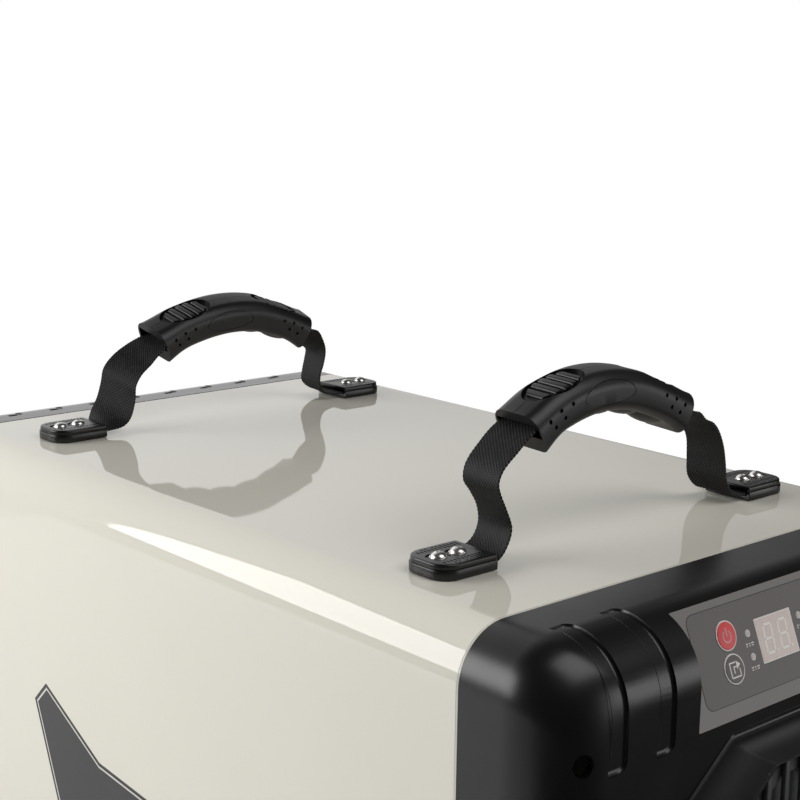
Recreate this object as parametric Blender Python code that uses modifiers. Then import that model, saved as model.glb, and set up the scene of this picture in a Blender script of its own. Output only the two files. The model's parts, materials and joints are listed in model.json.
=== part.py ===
"""A portable basement dehumidifier: a steel sleeve on levelling feet between two moulded caps.

It has two webbing carrying handles on top, a sloping control panel at the front, and the refrigeration
circuit, the fan and the condensate pump inside.

Metres, +Z up. The origin is the middle of the footprint, on the floor. The front, with the control panel
and the air intake, faces -Y. Right and left are those of a person who faces the front."""

import math

import bpy
import bmesh
from mathutils import Matrix, Vector

# Driving dimensions
CASE_WIDTH = 0.380
SLEEVE_LENGTH = 0.536
FRONT_DEPTH = 0.065
REAR_DEPTH = 0.055
SPIGOT_LENGTH = 0.022
TOP_Z = 0.425
BASE_Z = 0.018
EDGE_RADIUS = 0.030
CAP_ROUND = 0.0365
SHEET = 0.0012
WALL = 0.004
GAP = 0.0003

# Places along the case
HALF_WIDTH = CASE_WIDTH / 2
FRONT_Y = -(FRONT_DEPTH + SLEEVE_LENGTH + REAR_DEPTH + SPIGOT_LENGTH) / 2
SLEEVE_FRONT = FRONT_Y + FRONT_DEPTH
SLEEVE_REAR = SLEEVE_FRONT + SLEEVE_LENGTH
REAR_Y = SLEEVE_REAR + REAR_DEPTH
MID_Z = TOP_Z - 0.2125

# The control panel lies on a flat cut across the round upper edge of the front cap
PANEL_TOP = (SLEEVE_FRONT - 0.0423, TOP_Z - 0.0023)
PANEL_BOTTOM = (SLEEVE_FRONT - 0.0650, TOP_Z - 0.0591)
PANEL_HALF_WIDTH = 0.0873
PANEL_SLOPE = math.atan2(PANEL_TOP[1] - PANEL_BOTTOM[1], PANEL_TOP[0] - PANEL_BOTTOM[0])
PANEL_LENGTH = math.dist(PANEL_TOP, PANEL_BOTTOM)
PLATE_THICK = 0.0015
PANEL_FLOOR = -PLATE_THICK - 0.0003
BUTTON_RADIUS, BUTTON_THICK, BUTTON_PROUD = 0.0079, 0.0012, 0.0005
LAMP_RADIUS = 0.0018

# Handles
HANDLE_SETBACK = 0.072
BRACKET_INNER, BRACKET_OUTER = 0.1075, 0.1470
BRACKET_WIDTH, BRACKET_HEIGHT = 0.034, 0.009
STRAP_WIDTH, STRAP_THICK = 0.0290, 0.0016
STRAP_Z = 0.0045
GRIP_WIDTH, GRIP_THICK = 0.034, 0.022

# Inside
FAN_RADIUS = 0.118
FAN_Y = SLEEVE_REAR - 0.073
COIL_Y = SLEEVE_FRONT + 0.033
COMPRESSOR = (0.085, SLEEVE_FRONT + 0.228)
FOOT_X = 0.145
FEET_Y = (SLEEVE_FRONT + 0.045, SLEEVE_REAR - 0.045)


def clear_scene():
    for obj in list(bpy.data.objects):
        bpy.data.objects.remove(obj, do_unlink=True)


def new_collection(name):
    collection = bpy.data.collections.new(name)
    bpy.context.scene.collection.children.link(collection)
    return collection


def material(name, colour, roughness, metallic=0.0):
    made = bpy.data.materials.new(name)
    made.use_nodes = True
    shader = made.node_tree.nodes["Principled BSDF"]
    shader.inputs["Base Color"].default_value = (*colour, 1)
    shader.inputs["Roughness"].default_value = roughness
    shader.inputs["Metallic"].default_value = metallic
    return made


clear_scene()
PARTS = new_collection("Dehumidifier")
CUTTERS = new_collection("Cutters")
CUTTERS.hide_render = True

IVORY = material("ivory_paint", (0.78, 0.76, 0.69), 0.22)
GALVANISED = material("galvanised_sheet", (0.60, 0.61, 0.62), 0.45, 0.9)
BLACK_ABS = material("black_abs", (0.025, 0.026, 0.028), 0.42)
BLACK_RUBBER = material("black_rubber", (0.02, 0.02, 0.02), 0.8)
WEBBING = material("black_webbing", (0.02, 0.02, 0.021), 0.85)
CHROME = material("chrome_screw", (0.75, 0.74, 0.72), 0.15, 1.0)
PANEL_GREY = material("panel_grey", (0.13, 0.12, 0.12), 0.5)
DISPLAY = material("display_window", (0.62, 0.52, 0.48), 0.25)
RED = material("button_red", (0.62, 0.06, 0.07), 0.4)
DARK_KEY = material("key_grey", (0.12, 0.11, 0.11), 0.45)
LENS = material("led_lens", (0.85, 0.83, 0.80), 0.3)
BOARD = material("circuit_board", (0.02, 0.14, 0.06), 0.5)
FIN_METAL = material("fin_aluminium", (0.72, 0.73, 0.74), 0.35, 1.0)
COPPER = material("copper_pipe", (0.72, 0.36, 0.22), 0.3, 1.0)
BLACK_STEEL = material("black_steel", (0.03, 0.03, 0.032), 0.35, 0.3)
FILTER_MESH = material("filter_mesh", (0.55, 0.56, 0.57), 0.9)
WHITE_NYLON = material("white_nylon", (0.75, 0.75, 0.73), 0.5)
GREY_PLASTIC = material("grey_plastic", (0.25, 0.26, 0.27), 0.5)


def keep(obj, name, finish):
    """Names a finished object and puts it with the parts."""
    obj.name = name
    obj.data.name = name
    obj.data.materials.clear()
    obj.data.materials.append(finish)
    for collection in list(obj.users_collection):
        collection.objects.unlink(obj)
    PARTS.objects.link(obj)
    return obj


def apply_scale(obj):
    obj.data.transform(Matrix.Diagonal((*obj.scale, 1)))
    obj.scale = (1, 1, 1)


def box(low, high, bevel=0.0, segments=2):
    """A box between two corners, with its edges rounded."""
    centre = [(a + b) / 2 for a, b in zip(low, high)]
    bpy.ops.mesh.primitive_cube_add(size=1, location=centre)
    obj = bpy.context.object
    obj.scale = [b - a for a, b in zip(low, high)]
    apply_scale(obj)
    if bevel:
        add_bevel(obj, bevel, segments)
    return obj


def add_bevel(obj, width, segments=2):
    modifier = obj.modifiers.new("Rounded edges", "BEVEL")
    modifier.width = width
    modifier.segments = segments
    modifier.limit_method = "ANGLE"
    return modifier


def cylinder(centre, axis, radius, length, vertices=24):
    bpy.ops.mesh.primitive_cylinder_add(vertices=vertices, radius=radius, depth=length, location=centre)
    obj = bpy.context.object
    obj.rotation_mode = "QUATERNION"
    obj.rotation_quaternion = Vector(axis).to_track_quat("Z", "Y")
    smooth(obj)
    return obj


def smooth(obj):
    obj.data.shade_smooth()
    obj.data.set_sharp_from_angle(angle=math.radians(40))


def mesh_object(name, bm):
    mesh = bpy.data.meshes.new(name)
    bm.to_mesh(mesh)
    bm.free()
    obj = bpy.data.objects.new(name, mesh)
    PARTS.objects.link(obj)
    return obj


def turned(profile, location, steps=12):
    """A solid turned about its own Z axis; the profile starts and ends on the axis, top to bottom."""
    bm = bmesh.new()
    points = [bm.verts.new((radius, 0, z)) for radius, z in profile]
    for first, second in zip(points, points[1:]):
        bm.edges.new((first, second))
    obj = mesh_object("turned", bm)
    modifier = obj.modifiers.new("Turned", "SCREW")
    modifier.steps = steps
    modifier.render_steps = steps
    modifier.use_merge_vertices = True
    modifier.merge_threshold = 0.00001
    obj.location = location
    return obj


def as_mesh(obj):
    """Makes a curve object a mesh whose caps are welded."""
    bpy.context.view_layer.update()
    graph = bpy.context.evaluated_depsgraph_get()
    mesh = bpy.data.meshes.new_from_object(obj.evaluated_get(graph))
    bm = bmesh.new()
    bm.from_mesh(mesh)
    bmesh.ops.remove_doubles(bm, verts=bm.verts, dist=0.00001)
    bmesh.ops.recalc_face_normals(bm, faces=bm.faces)
    bm.to_mesh(mesh)
    bm.free()
    made = bpy.data.objects.new(obj.name, mesh)
    made.matrix_world = obj.matrix_world
    PARTS.objects.link(made)
    bpy.data.objects.remove(obj, do_unlink=True)
    return made


def tube(points, radius, sides=2):
    """A round tube along a list of points, with closed ends."""
    curve = bpy.data.curves.new("tube", "CURVE")
    curve.dimensions = "3D"
    curve.bevel_depth = radius
    curve.bevel_resolution = sides
    curve.use_fill_caps = True
    spline = curve.splines.new("POLY")
    spline.points.add(len(points) - 1)
    for point, place in zip(spline.points, points):
        point.co = (*place, 1)
    obj = bpy.data.objects.new("tube", curve)
    PARTS.objects.link(obj)
    return obj


def smooth_route(points, steps=4):
    """Points along a Catmull-Rom curve through the given ones."""
    route = []
    ends = [points[0]] + list(points) + [points[-1]]
    for a, b, c, d in zip(ends, ends[1:], ends[2:], ends[3:]):
        a, b, c, d = map(Vector, (a, b, c, d))
        for k in range(steps):
            t = k / steps
            route.append(0.5 * (2 * b + (c - a) * t + (2 * a - 5 * b + 4 * c - d) * t**2
                                + (3 * b - a - 3 * c + d) * t**3))
    return route + [Vector(points[-1])]


def outline_plate(loops, low_y, high_y):
    """A flat plate standing in the XZ plane: the first loop is its outline, the others are its holes."""
    curve = bpy.data.curves.new("plate", "CURVE")
    curve.dimensions = "2D"
    curve.fill_mode = "BOTH"
    curve.extrude = (high_y - low_y) / 2
    for loop in loops:
        spline = curve.splines.new("POLY")
        spline.points.add(len(loop) - 1)
        for point, (x, z) in zip(spline.points, loop):
            point.co = (x, z, 0, 1)
        spline.use_cyclic_u = True
    obj = bpy.data.objects.new("plate", curve)
    PARTS.objects.link(obj)
    obj.rotation_euler = (math.pi / 2, 0, 0)
    obj.location = (0, (low_y + high_y) / 2, 0)
    return as_mesh(obj)


def combine(obj, other, operation="DIFFERENCE"):
    """Cuts or joins with a Boolean modifier. The other object becomes a hidden helper."""
    for collection in list(other.users_collection):
        collection.objects.unlink(other)
    CUTTERS.objects.link(other)
    other.hide_render = True
    other.display_type = "WIRE"
    modifier = obj.modifiers.new(operation.title(), "BOOLEAN")
    modifier.operation = operation
    modifier.solver = "EXACT"
    modifier.object = other
    return obj


def rounded_ring(y, inset, bottom_radius=0.010, steps=4):
    """The case's cross-section at y, drawn in by inset, as a loop of points."""
    half = HALF_WIDTH - inset
    low, high = BASE_Z + inset, TOP_Z - inset
    top_radius = max(EDGE_RADIUS - 0.75 * inset, 0.003)
    low_radius = max(bottom_radius - 0.75 * inset, 0.002)
    corners = ((half - top_radius, high - top_radius, 0, top_radius),
               (-half + top_radius, high - top_radius, 90, top_radius),
               (-half + low_radius, low + low_radius, 180, low_radius),
               (half - low_radius, low + low_radius, 270, low_radius))
    ring = []
    for x, z, start, radius in corners:
        for k in range(steps + 1):
            angle = math.radians(start + 90 * k / steps)
            ring.append(Vector((x + radius * math.cos(angle), y, z + radius * math.sin(angle))))
    return ring


def cap_solid(edge_y, face_y, wall=0.0, arc_steps=5):
    """A cap as a loft of cross-sections: straight from the sleeve's edge, then round to a flat face."""
    outward = -1 if face_y < edge_y else 1
    radius = min(CAP_ROUND, abs(face_y - edge_y) - 0.008) - wall
    face_y -= outward * wall
    rings = [rounded_ring(edge_y, wall)]
    for k in range(arc_steps + 1):
        angle = math.pi / 2 * k / arc_steps
        y = face_y - outward * radius * (1 - math.sin(angle))
        rings.append(rounded_ring(y, wall + radius * (1 - math.cos(angle))))
    bm = bmesh.new()
    made = [[bm.verts.new(point) for point in ring] for ring in rings]
    for ring, following in zip(made, made[1:]):
        for k in range(len(ring)):
            after = (k + 1) % len(ring)
            bm.faces.new((ring[k], ring[after], following[after], following[k]))
    bm.faces.new(made[0])
    bm.faces.new(made[-1])
    bmesh.ops.recalc_face_normals(bm, faces=bm.faces)
    return mesh_object("cap", bm)


def octagon(top_half, top, side_half, low):
    """An upright octagon, with flat top and bottom edges, in the XZ plane."""
    rise = (side_half - top_half) * 0.78
    return [(top_half, top), (side_half, top - rise), (side_half, low + rise), (top_half, low),
            (-top_half, low), (-side_half, low + rise), (-side_half, top - rise), (-top_half, top)]


def grown(loop, amount):
    """The octagon loop drawn outwards by about amount, or inwards if it is negative."""
    return [(x + amount * math.copysign(1, x), z + amount * math.copysign(1, z - MID_Z)) for x, z in loop]


OPENING = octagon(0.060, TOP_Z - 0.0705, 0.150, TOP_Z - 0.3545)
SLATTED = octagon(0.017, TOP_Z - 0.0960, 0.125, TOP_Z - 0.3290)
FILTER_INSET = 0.0012  # the filter lies just inside the slatted field
FILTER_RIM = 0.008
FILTER_DEPTH = 0.0048  # from the front face to the filter
FILTER_THICK = 0.0120


def slat_height(x):
    """How far above the middle the slatted field reaches at x."""
    (top_half, top), (side_half, shoulder) = SLATTED[0], SLATTED[1]
    beyond = max(0.0, abs(x) - top_half)
    return top - beyond * (top - shoulder) / (side_half - top_half) - MID_Z


def panel_frame():
    """An empty on the middle of the sloping panel: X to the right, Y up the slope, Z outwards."""
    frame = bpy.data.objects.new("panel_frame", None)
    PARTS.objects.link(frame)
    frame.location = (0, (PANEL_TOP[0] + PANEL_BOTTOM[0]) / 2, (PANEL_TOP[1] + PANEL_BOTTOM[1]) / 2)
    frame.rotation_euler = (PANEL_SLOPE, 0, 0)
    return frame


def on_panel(obj, frame):
    obj.parent = frame
    return obj


def groove_cutter(x, edge_y, face_y, start, end_z, side):
    """A J-shaped groove: along the top at x, over the round edge and down the face, a short leg at each end."""
    outward = -1 if face_y < edge_y else 1
    radius = min(CAP_ROUND, abs(face_y - edge_y) - 0.008)
    centre_y, centre_z = face_y - outward * radius, TOP_Z - radius
    start_y = edge_y + outward * start
    route = [(x + side * 0.0105, start_y, TOP_Z), (x, start_y, TOP_Z)]
    for k in range(8):
        angle = math.pi / 2 * k / 7
        reach, height = radius * math.sin(angle), radius * math.cos(angle)
        route.append((x, centre_y + outward * reach, centre_z + height))
    route += [(x, face_y, end_z), (x + side * 0.0105, face_y, end_z)]
    return as_mesh(tube(route, 0.0016, 0))


def front_cap(frame):
    cap = cap_solid(SLEEVE_FRONT - GAP, FRONT_Y)
    combine(cap, cap_solid(SLEEVE_FRONT + 0.002, FRONT_Y, WALL))
    floor = box((-PANEL_HALF_WIDTH - 0.003, -PANEL_LENGTH / 2 + 0.0008, PANEL_FLOOR - 0.004),
                (PANEL_HALF_WIDTH + 0.003, PANEL_LENGTH / 2 - 0.0008, 0))
    combine(cap, on_panel(floor, frame), "UNION")
    recess = box((-PANEL_HALF_WIDTH - GAP, -PANEL_LENGTH / 2, PANEL_FLOOR),
                 (PANEL_HALF_WIDTH + GAP, PANEL_LENGTH / 2, 0.03))
    combine(cap, on_panel(recess, frame))
    combine(cap, outline_plate([grown(OPENING, 0.0005)], FRONT_Y - 0.01, FRONT_Y + 0.02))
    for x in (-0.170, 0.170):
        for z in (TOP_Z - 0.0523, BASE_Z + 0.045):
            combine(cap, cylinder((x, FRONT_Y, z), (0, 1, 0), 0.0047, 0.06, 16))
    for side in (-1, 1):
        for x in (0.1080, 0.1430):
            combine(cap, groove_cutter(side * x, SLEEVE_FRONT, FRONT_Y, 0.026, TOP_Z - 0.0605, side))
    keep(cap, "front_cap", BLACK_ABS)


def rear_cap():
    cap = cap_solid(SLEEVE_REAR + GAP, REAR_Y)
    combine(cap, cap_solid(SLEEVE_REAR - 0.002, REAR_Y, WALL))
    combine(cap, outline_plate([grown(outlet_outline(), 0.0005)], REAR_Y - 0.02, REAR_Y + 0.01))
    for k in range(8):
        x = (k - 3.5) * 0.0344
        combine(cap, groove_cutter(x, SLEEVE_REAR, REAR_Y, 0.016, TOP_Z - 0.050, -1))
    combine(cap, cylinder((-0.130, REAR_Y, 0.060), (0, 1, 0), 0.0125, 0.04, 20))
    combine(cap, cylinder((0.130, REAR_Y, 0.060), (0, 1, 0), 0.0105, 0.04, 20))
    keep(cap, "rear_cap", BLACK_ABS)


def outlet_outline():
    return octagon(0.080, TOP_Z - 0.070, 0.145, TOP_Z - 0.320)


def intake_grille():
    pitch, slot = 0.0156, 0.0118
    slots = []
    for k in range(-7, 8):
        x0, x1 = k * pitch - slot / 2, k * pitch + slot / 2
        up0, up1 = slat_height(x0), slat_height(x1)
        slots.append([(x0, MID_Z + up0), (x0, MID_Z - up0), (x1, MID_Z - up1), (x1, MID_Z + up1)])
    keep(outline_plate([OPENING] + slots, FRONT_Y + 0.0004, FRONT_Y + 0.0044), "intake_grille", BLACK_ABS)


def outlet_grille():
    outline = outlet_outline()
    slots = []
    for k in range(-6, 7):
        z = MID_Z + 0.0175 + k * 0.0165
        half = 0.125 if abs(k) < 4 else 0.125 - (abs(k) - 3) * 0.018
        slots.append([(half, z + 0.0055), (-half, z + 0.0055), (-half, z - 0.0055), (half, z - 0.0055)])
    keep(outline_plate([outline] + slots, REAR_Y - 0.0044, REAR_Y - 0.0004), "outlet_grille", BLACK_ABS)


def air_filter():
    """A moulded frame clipped behind the slatted field, with its outline, and the washable mesh in it."""
    low_y, high_y = FRONT_Y + FILTER_DEPTH, FRONT_Y + FILTER_DEPTH + FILTER_THICK
    outer = grown(SLATTED, -FILTER_INSET)
    inner = grown(outer, -FILTER_RIM)
    keep(outline_plate([outer, inner], low_y, high_y), "filter_frame", GREY_PLASTIC)
    held = grown(inner, -GAP)
    keep(outline_plate([held], low_y + 0.003, high_y - 0.003), "filter_media", FILTER_MESH)


def control_panel(frame):
    half_length = PANEL_LENGTH / 2 - GAP
    plate = box((-PANEL_HALF_WIDTH, -half_length, -PLATE_THICK), (PANEL_HALF_WIDTH, half_length, 0))
    on_panel(plate, frame)
    keys = {"power_button": (-0.0501, 0.0107, RED), "pump_button": (-0.0501, -0.0065, DARK_KEY),
            "humidity_up_button": (0.0501, 0.0107, DARK_KEY),
            "humidity_down_button": (0.0501, -0.0065, DARK_KEY)}
    for name, (x, up, finish) in keys.items():
        hole = cylinder((x, up, 0), (0, 0, 1), BUTTON_RADIUS + GAP, 0.02, 24)
        combine(plate, on_panel(hole, frame))
        middle = (x, up, BUTTON_PROUD - BUTTON_THICK / 2)
        key = cylinder(middle, (0, 0, 1), BUTTON_RADIUS, BUTTON_THICK, 24)
        keep(on_panel(key, frame), name, finish)
    lamps = {"power_lamp": (-0.0329, 0.0082), "pump_lamp": (-0.0329, -0.0040),
             "defrost_lamp": (0.0113, 0.0084)}
    for name, (x, up) in lamps.items():
        hole = cylinder((x, up, 0), (0, 0, 1), LAMP_RADIUS + GAP, 0.02, 12)
        combine(plate, on_panel(hole, frame))
        lamp = cylinder((x, up, GAP - PLATE_THICK / 2), (0, 0, 1), LAMP_RADIUS, PLATE_THICK, 12)
        keep(on_panel(lamp, frame), name, LENS)
    low, high = (-0.0261, -0.0096), (0.0049, 0.0140)
    hole = box((low[0] - GAP, low[1] - GAP, -0.01), (high[0] + GAP, high[1] + GAP, 0.01))
    combine(plate, on_panel(hole, frame))
    window = box((*low, -PLATE_THICK), (*high, 0))
    keep(on_panel(window, frame), "display_window", DISPLAY)
    keep(plate, "control_plate", PANEL_GREY)
    board = box((-0.070, -0.0215, -0.0120), (0.070, 0.0215, -0.0104))
    keep(on_panel(board, frame), "display_board", BOARD)


def case_shell():
    """The wrapped steel sleeve, open below and at both ends, and the pan that closes it below."""
    bm = bmesh.new()
    half, radius, steps = HALF_WIDTH, EDGE_RADIUS, 8
    profile = [(half, BASE_Z + 0.0005)]
    for side, start in ((1, 0), (-1, 90)):
        for k in range(steps + 1):
            angle = math.radians(start + 90 * k / steps)
            profile.append((side * (half - radius) + radius * math.cos(angle),
                            TOP_Z - radius + radius * math.sin(angle)))
    profile.append((-half, BASE_Z + 0.0005))
    front = [bm.verts.new((x, SLEEVE_FRONT, z)) for x, z in profile]
    edges = [bm.edges.new(pair) for pair in zip(front, front[1:])]
    swept = bmesh.ops.extrude_edge_only(bm, edges=edges)
    moved = [item for item in swept["geom"] if isinstance(item, bmesh.types.BMVert)]
    bmesh.ops.translate(bm, verts=moved, vec=(0, SLEEVE_LENGTH, 0))
    bmesh.ops.recalc_face_normals(bm, faces=bm.faces)
    top = max(bm.faces, key=lambda face: face.calc_center_median().z)
    if top.normal.z < 0:
        bmesh.ops.reverse_faces(bm, faces=bm.faces)
    sleeve = mesh_object("sleeve", bm)
    shell = sleeve.modifiers.new("Sheet", "SOLIDIFY")
    shell.thickness = SHEET
    shell.offset = -1
    shell.use_even_offset = True
    keep(sleeve, "case_sleeve", IVORY)

    inner = half - SHEET - GAP
    pan = box((-inner, SLEEVE_FRONT + 0.001, BASE_Z), (inner, SLEEVE_REAR - 0.001, BASE_Z + 0.018))
    combine(pan, box((-inner + SHEET, SLEEVE_FRONT + 0.001 + SHEET, BASE_Z + SHEET),
                     (inner - SHEET, SLEEVE_REAR - 0.001 - SHEET, BASE_Z + 0.05)))
    for x in (-FOOT_X, FOOT_X):
        for y in FEET_Y:
            combine(pan, cylinder((x, y, BASE_Z), (0, 0, 1), 0.0044, 0.01, 16))
    keep(pan, "base_pan", GALVANISED)


def levelling_feet():
    profile = [(0, 0.040), (0.0040, 0.040), (0.0040, 0.0175), (0.0085, 0.0175), (0.0085, 0.0105),
               (0.0150, 0.0100), (0.0170, 0.0060), (0.0170, 0.0010), (0.0160, 0), (0, 0)]
    for side, x in (("left", -FOOT_X), ("right", FOOT_X)):
        for end, y in zip(("front", "rear"), FEET_Y):
            keep(turned(profile, (x, y, 0)), f"levelling_foot_{end}_{side}", BLACK_RUBBER)


def bracket(name, side, y):
    """A strap bracket: square at the inner end, where the strap goes in, widely rounded at the outer end."""
    half = BRACKET_WIDTH / 2
    radius = 0.010
    outline = [(BRACKET_INNER, -half)]
    for start, centre_y in ((-90, -half + radius), (0, half - radius)):
        for k in range(5):
            angle = math.radians(start + 90 * k / 4)
            outline.append((BRACKET_OUTER - radius + radius * math.cos(angle),
                            centre_y + radius * math.sin(angle)))
    outline.append((BRACKET_INNER, half))
    bm = bmesh.new()
    face = bm.faces.new([bm.verts.new((side * x, y + across, TOP_Z + GAP)) for x, across in outline])
    raised = bmesh.ops.extrude_face_region(bm, geom=[face])
    moved = [item for item in raised["geom"] if isinstance(item, bmesh.types.BMVert)]
    bmesh.ops.translate(bm, verts=moved, vec=(0, 0, BRACKET_HEIGHT))
    bmesh.ops.recalc_face_normals(bm, faces=bm.faces)
    made = mesh_object(name, bm)
    ends = sorted((side * (BRACKET_INNER - 0.01), side * (BRACKET_INNER + 0.0085)))
    combine(made, box((ends[0], y - STRAP_WIDTH / 2 - 0.0006, TOP_Z + STRAP_Z - 0.0015),
                      (ends[1], y + STRAP_WIDTH / 2 + 0.0006, TOP_Z + STRAP_Z + 0.0015)))
    keep(made, name, BLACK_ABS)
    return made


SCREW_SHANK = 0.0020
SCREW_PROFILE = [(0, 0.0033), (0.0024, 0.0030), (0.0041, 0.0018), (0.0048, 0), (SCREW_SHANK, 0),
                 (SCREW_SHANK, -0.0070), (0, -0.0070)]


def strap(name, y, route):
    """One length of webbing, from the mouth of one bracket through the grip to the mouth of the other."""
    points = smooth_route([(x, 0, TOP_Z + up) for x, up in route], 3)
    bm = bmesh.new()
    near = [bm.verts.new((point.x, y - STRAP_WIDTH / 2, point.z)) for point in points]
    edges = [bm.edges.new(pair) for pair in zip(near, near[1:])]
    swept = bmesh.ops.extrude_edge_only(bm, edges=edges)
    moved = [item for item in swept["geom"] if isinstance(item, bmesh.types.BMVert)]
    bmesh.ops.translate(bm, verts=moved, vec=(0, STRAP_WIDTH, 0))
    bmesh.ops.recalc_face_normals(bm, faces=bm.faces)
    obj = mesh_object(name, bm)
    cloth = obj.modifiers.new("Webbing", "SOLIDIFY")
    cloth.thickness = STRAP_THICK
    cloth.offset = 0
    keep(obj, name, WEBBING)


def arch_block(points, y, thick, width):
    """A block of the given thickness and width along an arched line of (x, height) points."""
    line = [Vector((x, 0, TOP_Z + up)) for x, up in points]
    upper, lower = [], []
    for k, point in enumerate(line):
        along = (line[min(k + 1, len(line) - 1)] - line[max(k - 1, 0)]).normalized()
        normal = Vector((-along.z, 0, along.x))
        upper.append(point + normal * thick / 2)
        lower.append(point - normal * thick / 2)
    bm = bmesh.new()
    face = bm.faces.new([bm.verts.new((p.x, y - width / 2, p.z)) for p in upper + lower[::-1]])
    swept = bmesh.ops.extrude_face_region(bm, geom=[face])
    moved = [item for item in swept["geom"] if isinstance(item, bmesh.types.BMVert)]
    bmesh.ops.translate(bm, verts=moved, vec=(0, width, 0))
    bmesh.ops.recalc_face_normals(bm, faces=bm.faces)
    return mesh_object("arch", bm)


def handle(end, y, left_riser, arch, right_riser):
    """A webbing handle: its strap follows the left riser, the arch inside the grip, and the right riser."""
    for side_name, side in (("left", -1), ("right", 1)):
        made = bracket(f"{end}_bracket_{side_name}", side, y)
        for k, x in enumerate((0.1230, 0.1370)):
            place = (side * x, y, TOP_Z + BRACKET_HEIGHT + 2 * GAP)
            combine(made, cylinder(place, (0, 0, 1), SCREW_SHANK + GAP, 0.018, 12))
            name = f"{end}_bracket_screw_{side_name}_{'inner' if k == 0 else 'outer'}"
            keep(turned(SCREW_PROFILE, place, 14), name, CHROME)
    strap(f"{end}_strap", y, left_riser + arch + right_riser)
    core = smooth_route([(x, 0, up) for x, up in arch], 3)
    line = [(point.x, point.z) for point in core]
    grip = arch_block(line, y, GRIP_THICK, GRIP_WIDTH)
    add_bevel(grip, 0.007, 2)
    first, last = Vector(line[1]) - Vector(line[0]), Vector(line[-1]) - Vector(line[-2])
    longer = [tuple(Vector(line[0]) - first.normalized() * 0.01)] + line
    longer.append(tuple(Vector(line[-1]) + last.normalized() * 0.01))
    combine(grip, arch_block(longer, y, 0.0050, STRAP_WIDTH + 0.0014))
    keep(grip, f"{end}_grip", BLACK_ABS)


def handles():
    mouth = BRACKET_INNER
    handle("front", SLEEVE_FRONT + HANDLE_SETBACK,
           [(-mouth - 0.0075, STRAP_Z), (-mouth + 0.001, STRAP_Z), (-0.1005, 0.0120), (-0.0965, 0.0225),
            (-0.1035, 0.0350), (-0.1070, 0.0455), (-0.1030, 0.0545), (-0.0960, 0.0610)],
           [(-0.0890, 0.0680), (-0.0640, 0.0805), (-0.0300, 0.0875), (0.0000, 0.0845), (0.0270, 0.0745),
            (0.0500, 0.0620)],
           [(0.0640, 0.0560), (0.0780, 0.0475), (0.0840, 0.0350), (0.0850, 0.0220), (0.0890, 0.0110),
            (0.0970, 0.0055), (mouth - 0.001, STRAP_Z), (mouth + 0.0075, STRAP_Z)])
    handle("rear", SLEEVE_REAR - HANDLE_SETBACK,
           [(-mouth - 0.0075, STRAP_Z), (-mouth + 0.001, STRAP_Z), (-0.0960, 0.0085), (-0.0900, 0.0200),
            (-0.0880, 0.0330), (-0.0830, 0.0430), (-0.0745, 0.0510)],
           [(-0.0640, 0.0575), (-0.0360, 0.0700), (-0.0050, 0.0760), (0.0250, 0.0760), (0.0520, 0.0680),
            (0.0740, 0.0565)],
           [(0.0850, 0.0480), (0.0900, 0.0370), (0.0895, 0.0240), (0.0890, 0.0140), (0.0950, 0.0070),
            (mouth - 0.001, STRAP_Z), (mouth + 0.0075, STRAP_Z)])


def coils():
    """The cold and hot fin packs behind the filter, and the pan that catches what drips from them."""
    for name, y in (("evaporator_coil", COIL_Y), ("condenser_coil", COIL_Y + 0.050)):
        coil = box((-0.1625, y - 0.002, 0.089), (-0.1500, y + 0.040, 0.389))
        combine(coil, box((0.1500, y - 0.002, 0.089), (0.1625, y + 0.040, 0.389)), "UNION")
        for k in range(11):
            z = 0.105 + 0.027 * k
            combine(coil, box((-0.1560, y + 0.006, z - 0.004), (0.1560, y + 0.032, z + 0.004)), "UNION")
        keep(coil, name, FIN_METAL)
    pan = box((-0.170, COIL_Y - 0.015, 0.060), (0.170, COIL_Y + 0.100, 0.086), 0.004, 1)
    combine(pan, box((-0.167, COIL_Y - 0.012, 0.063), (0.167, COIL_Y + 0.097, 0.10)))
    keep(pan, "drain_pan", WHITE_NYLON)


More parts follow.
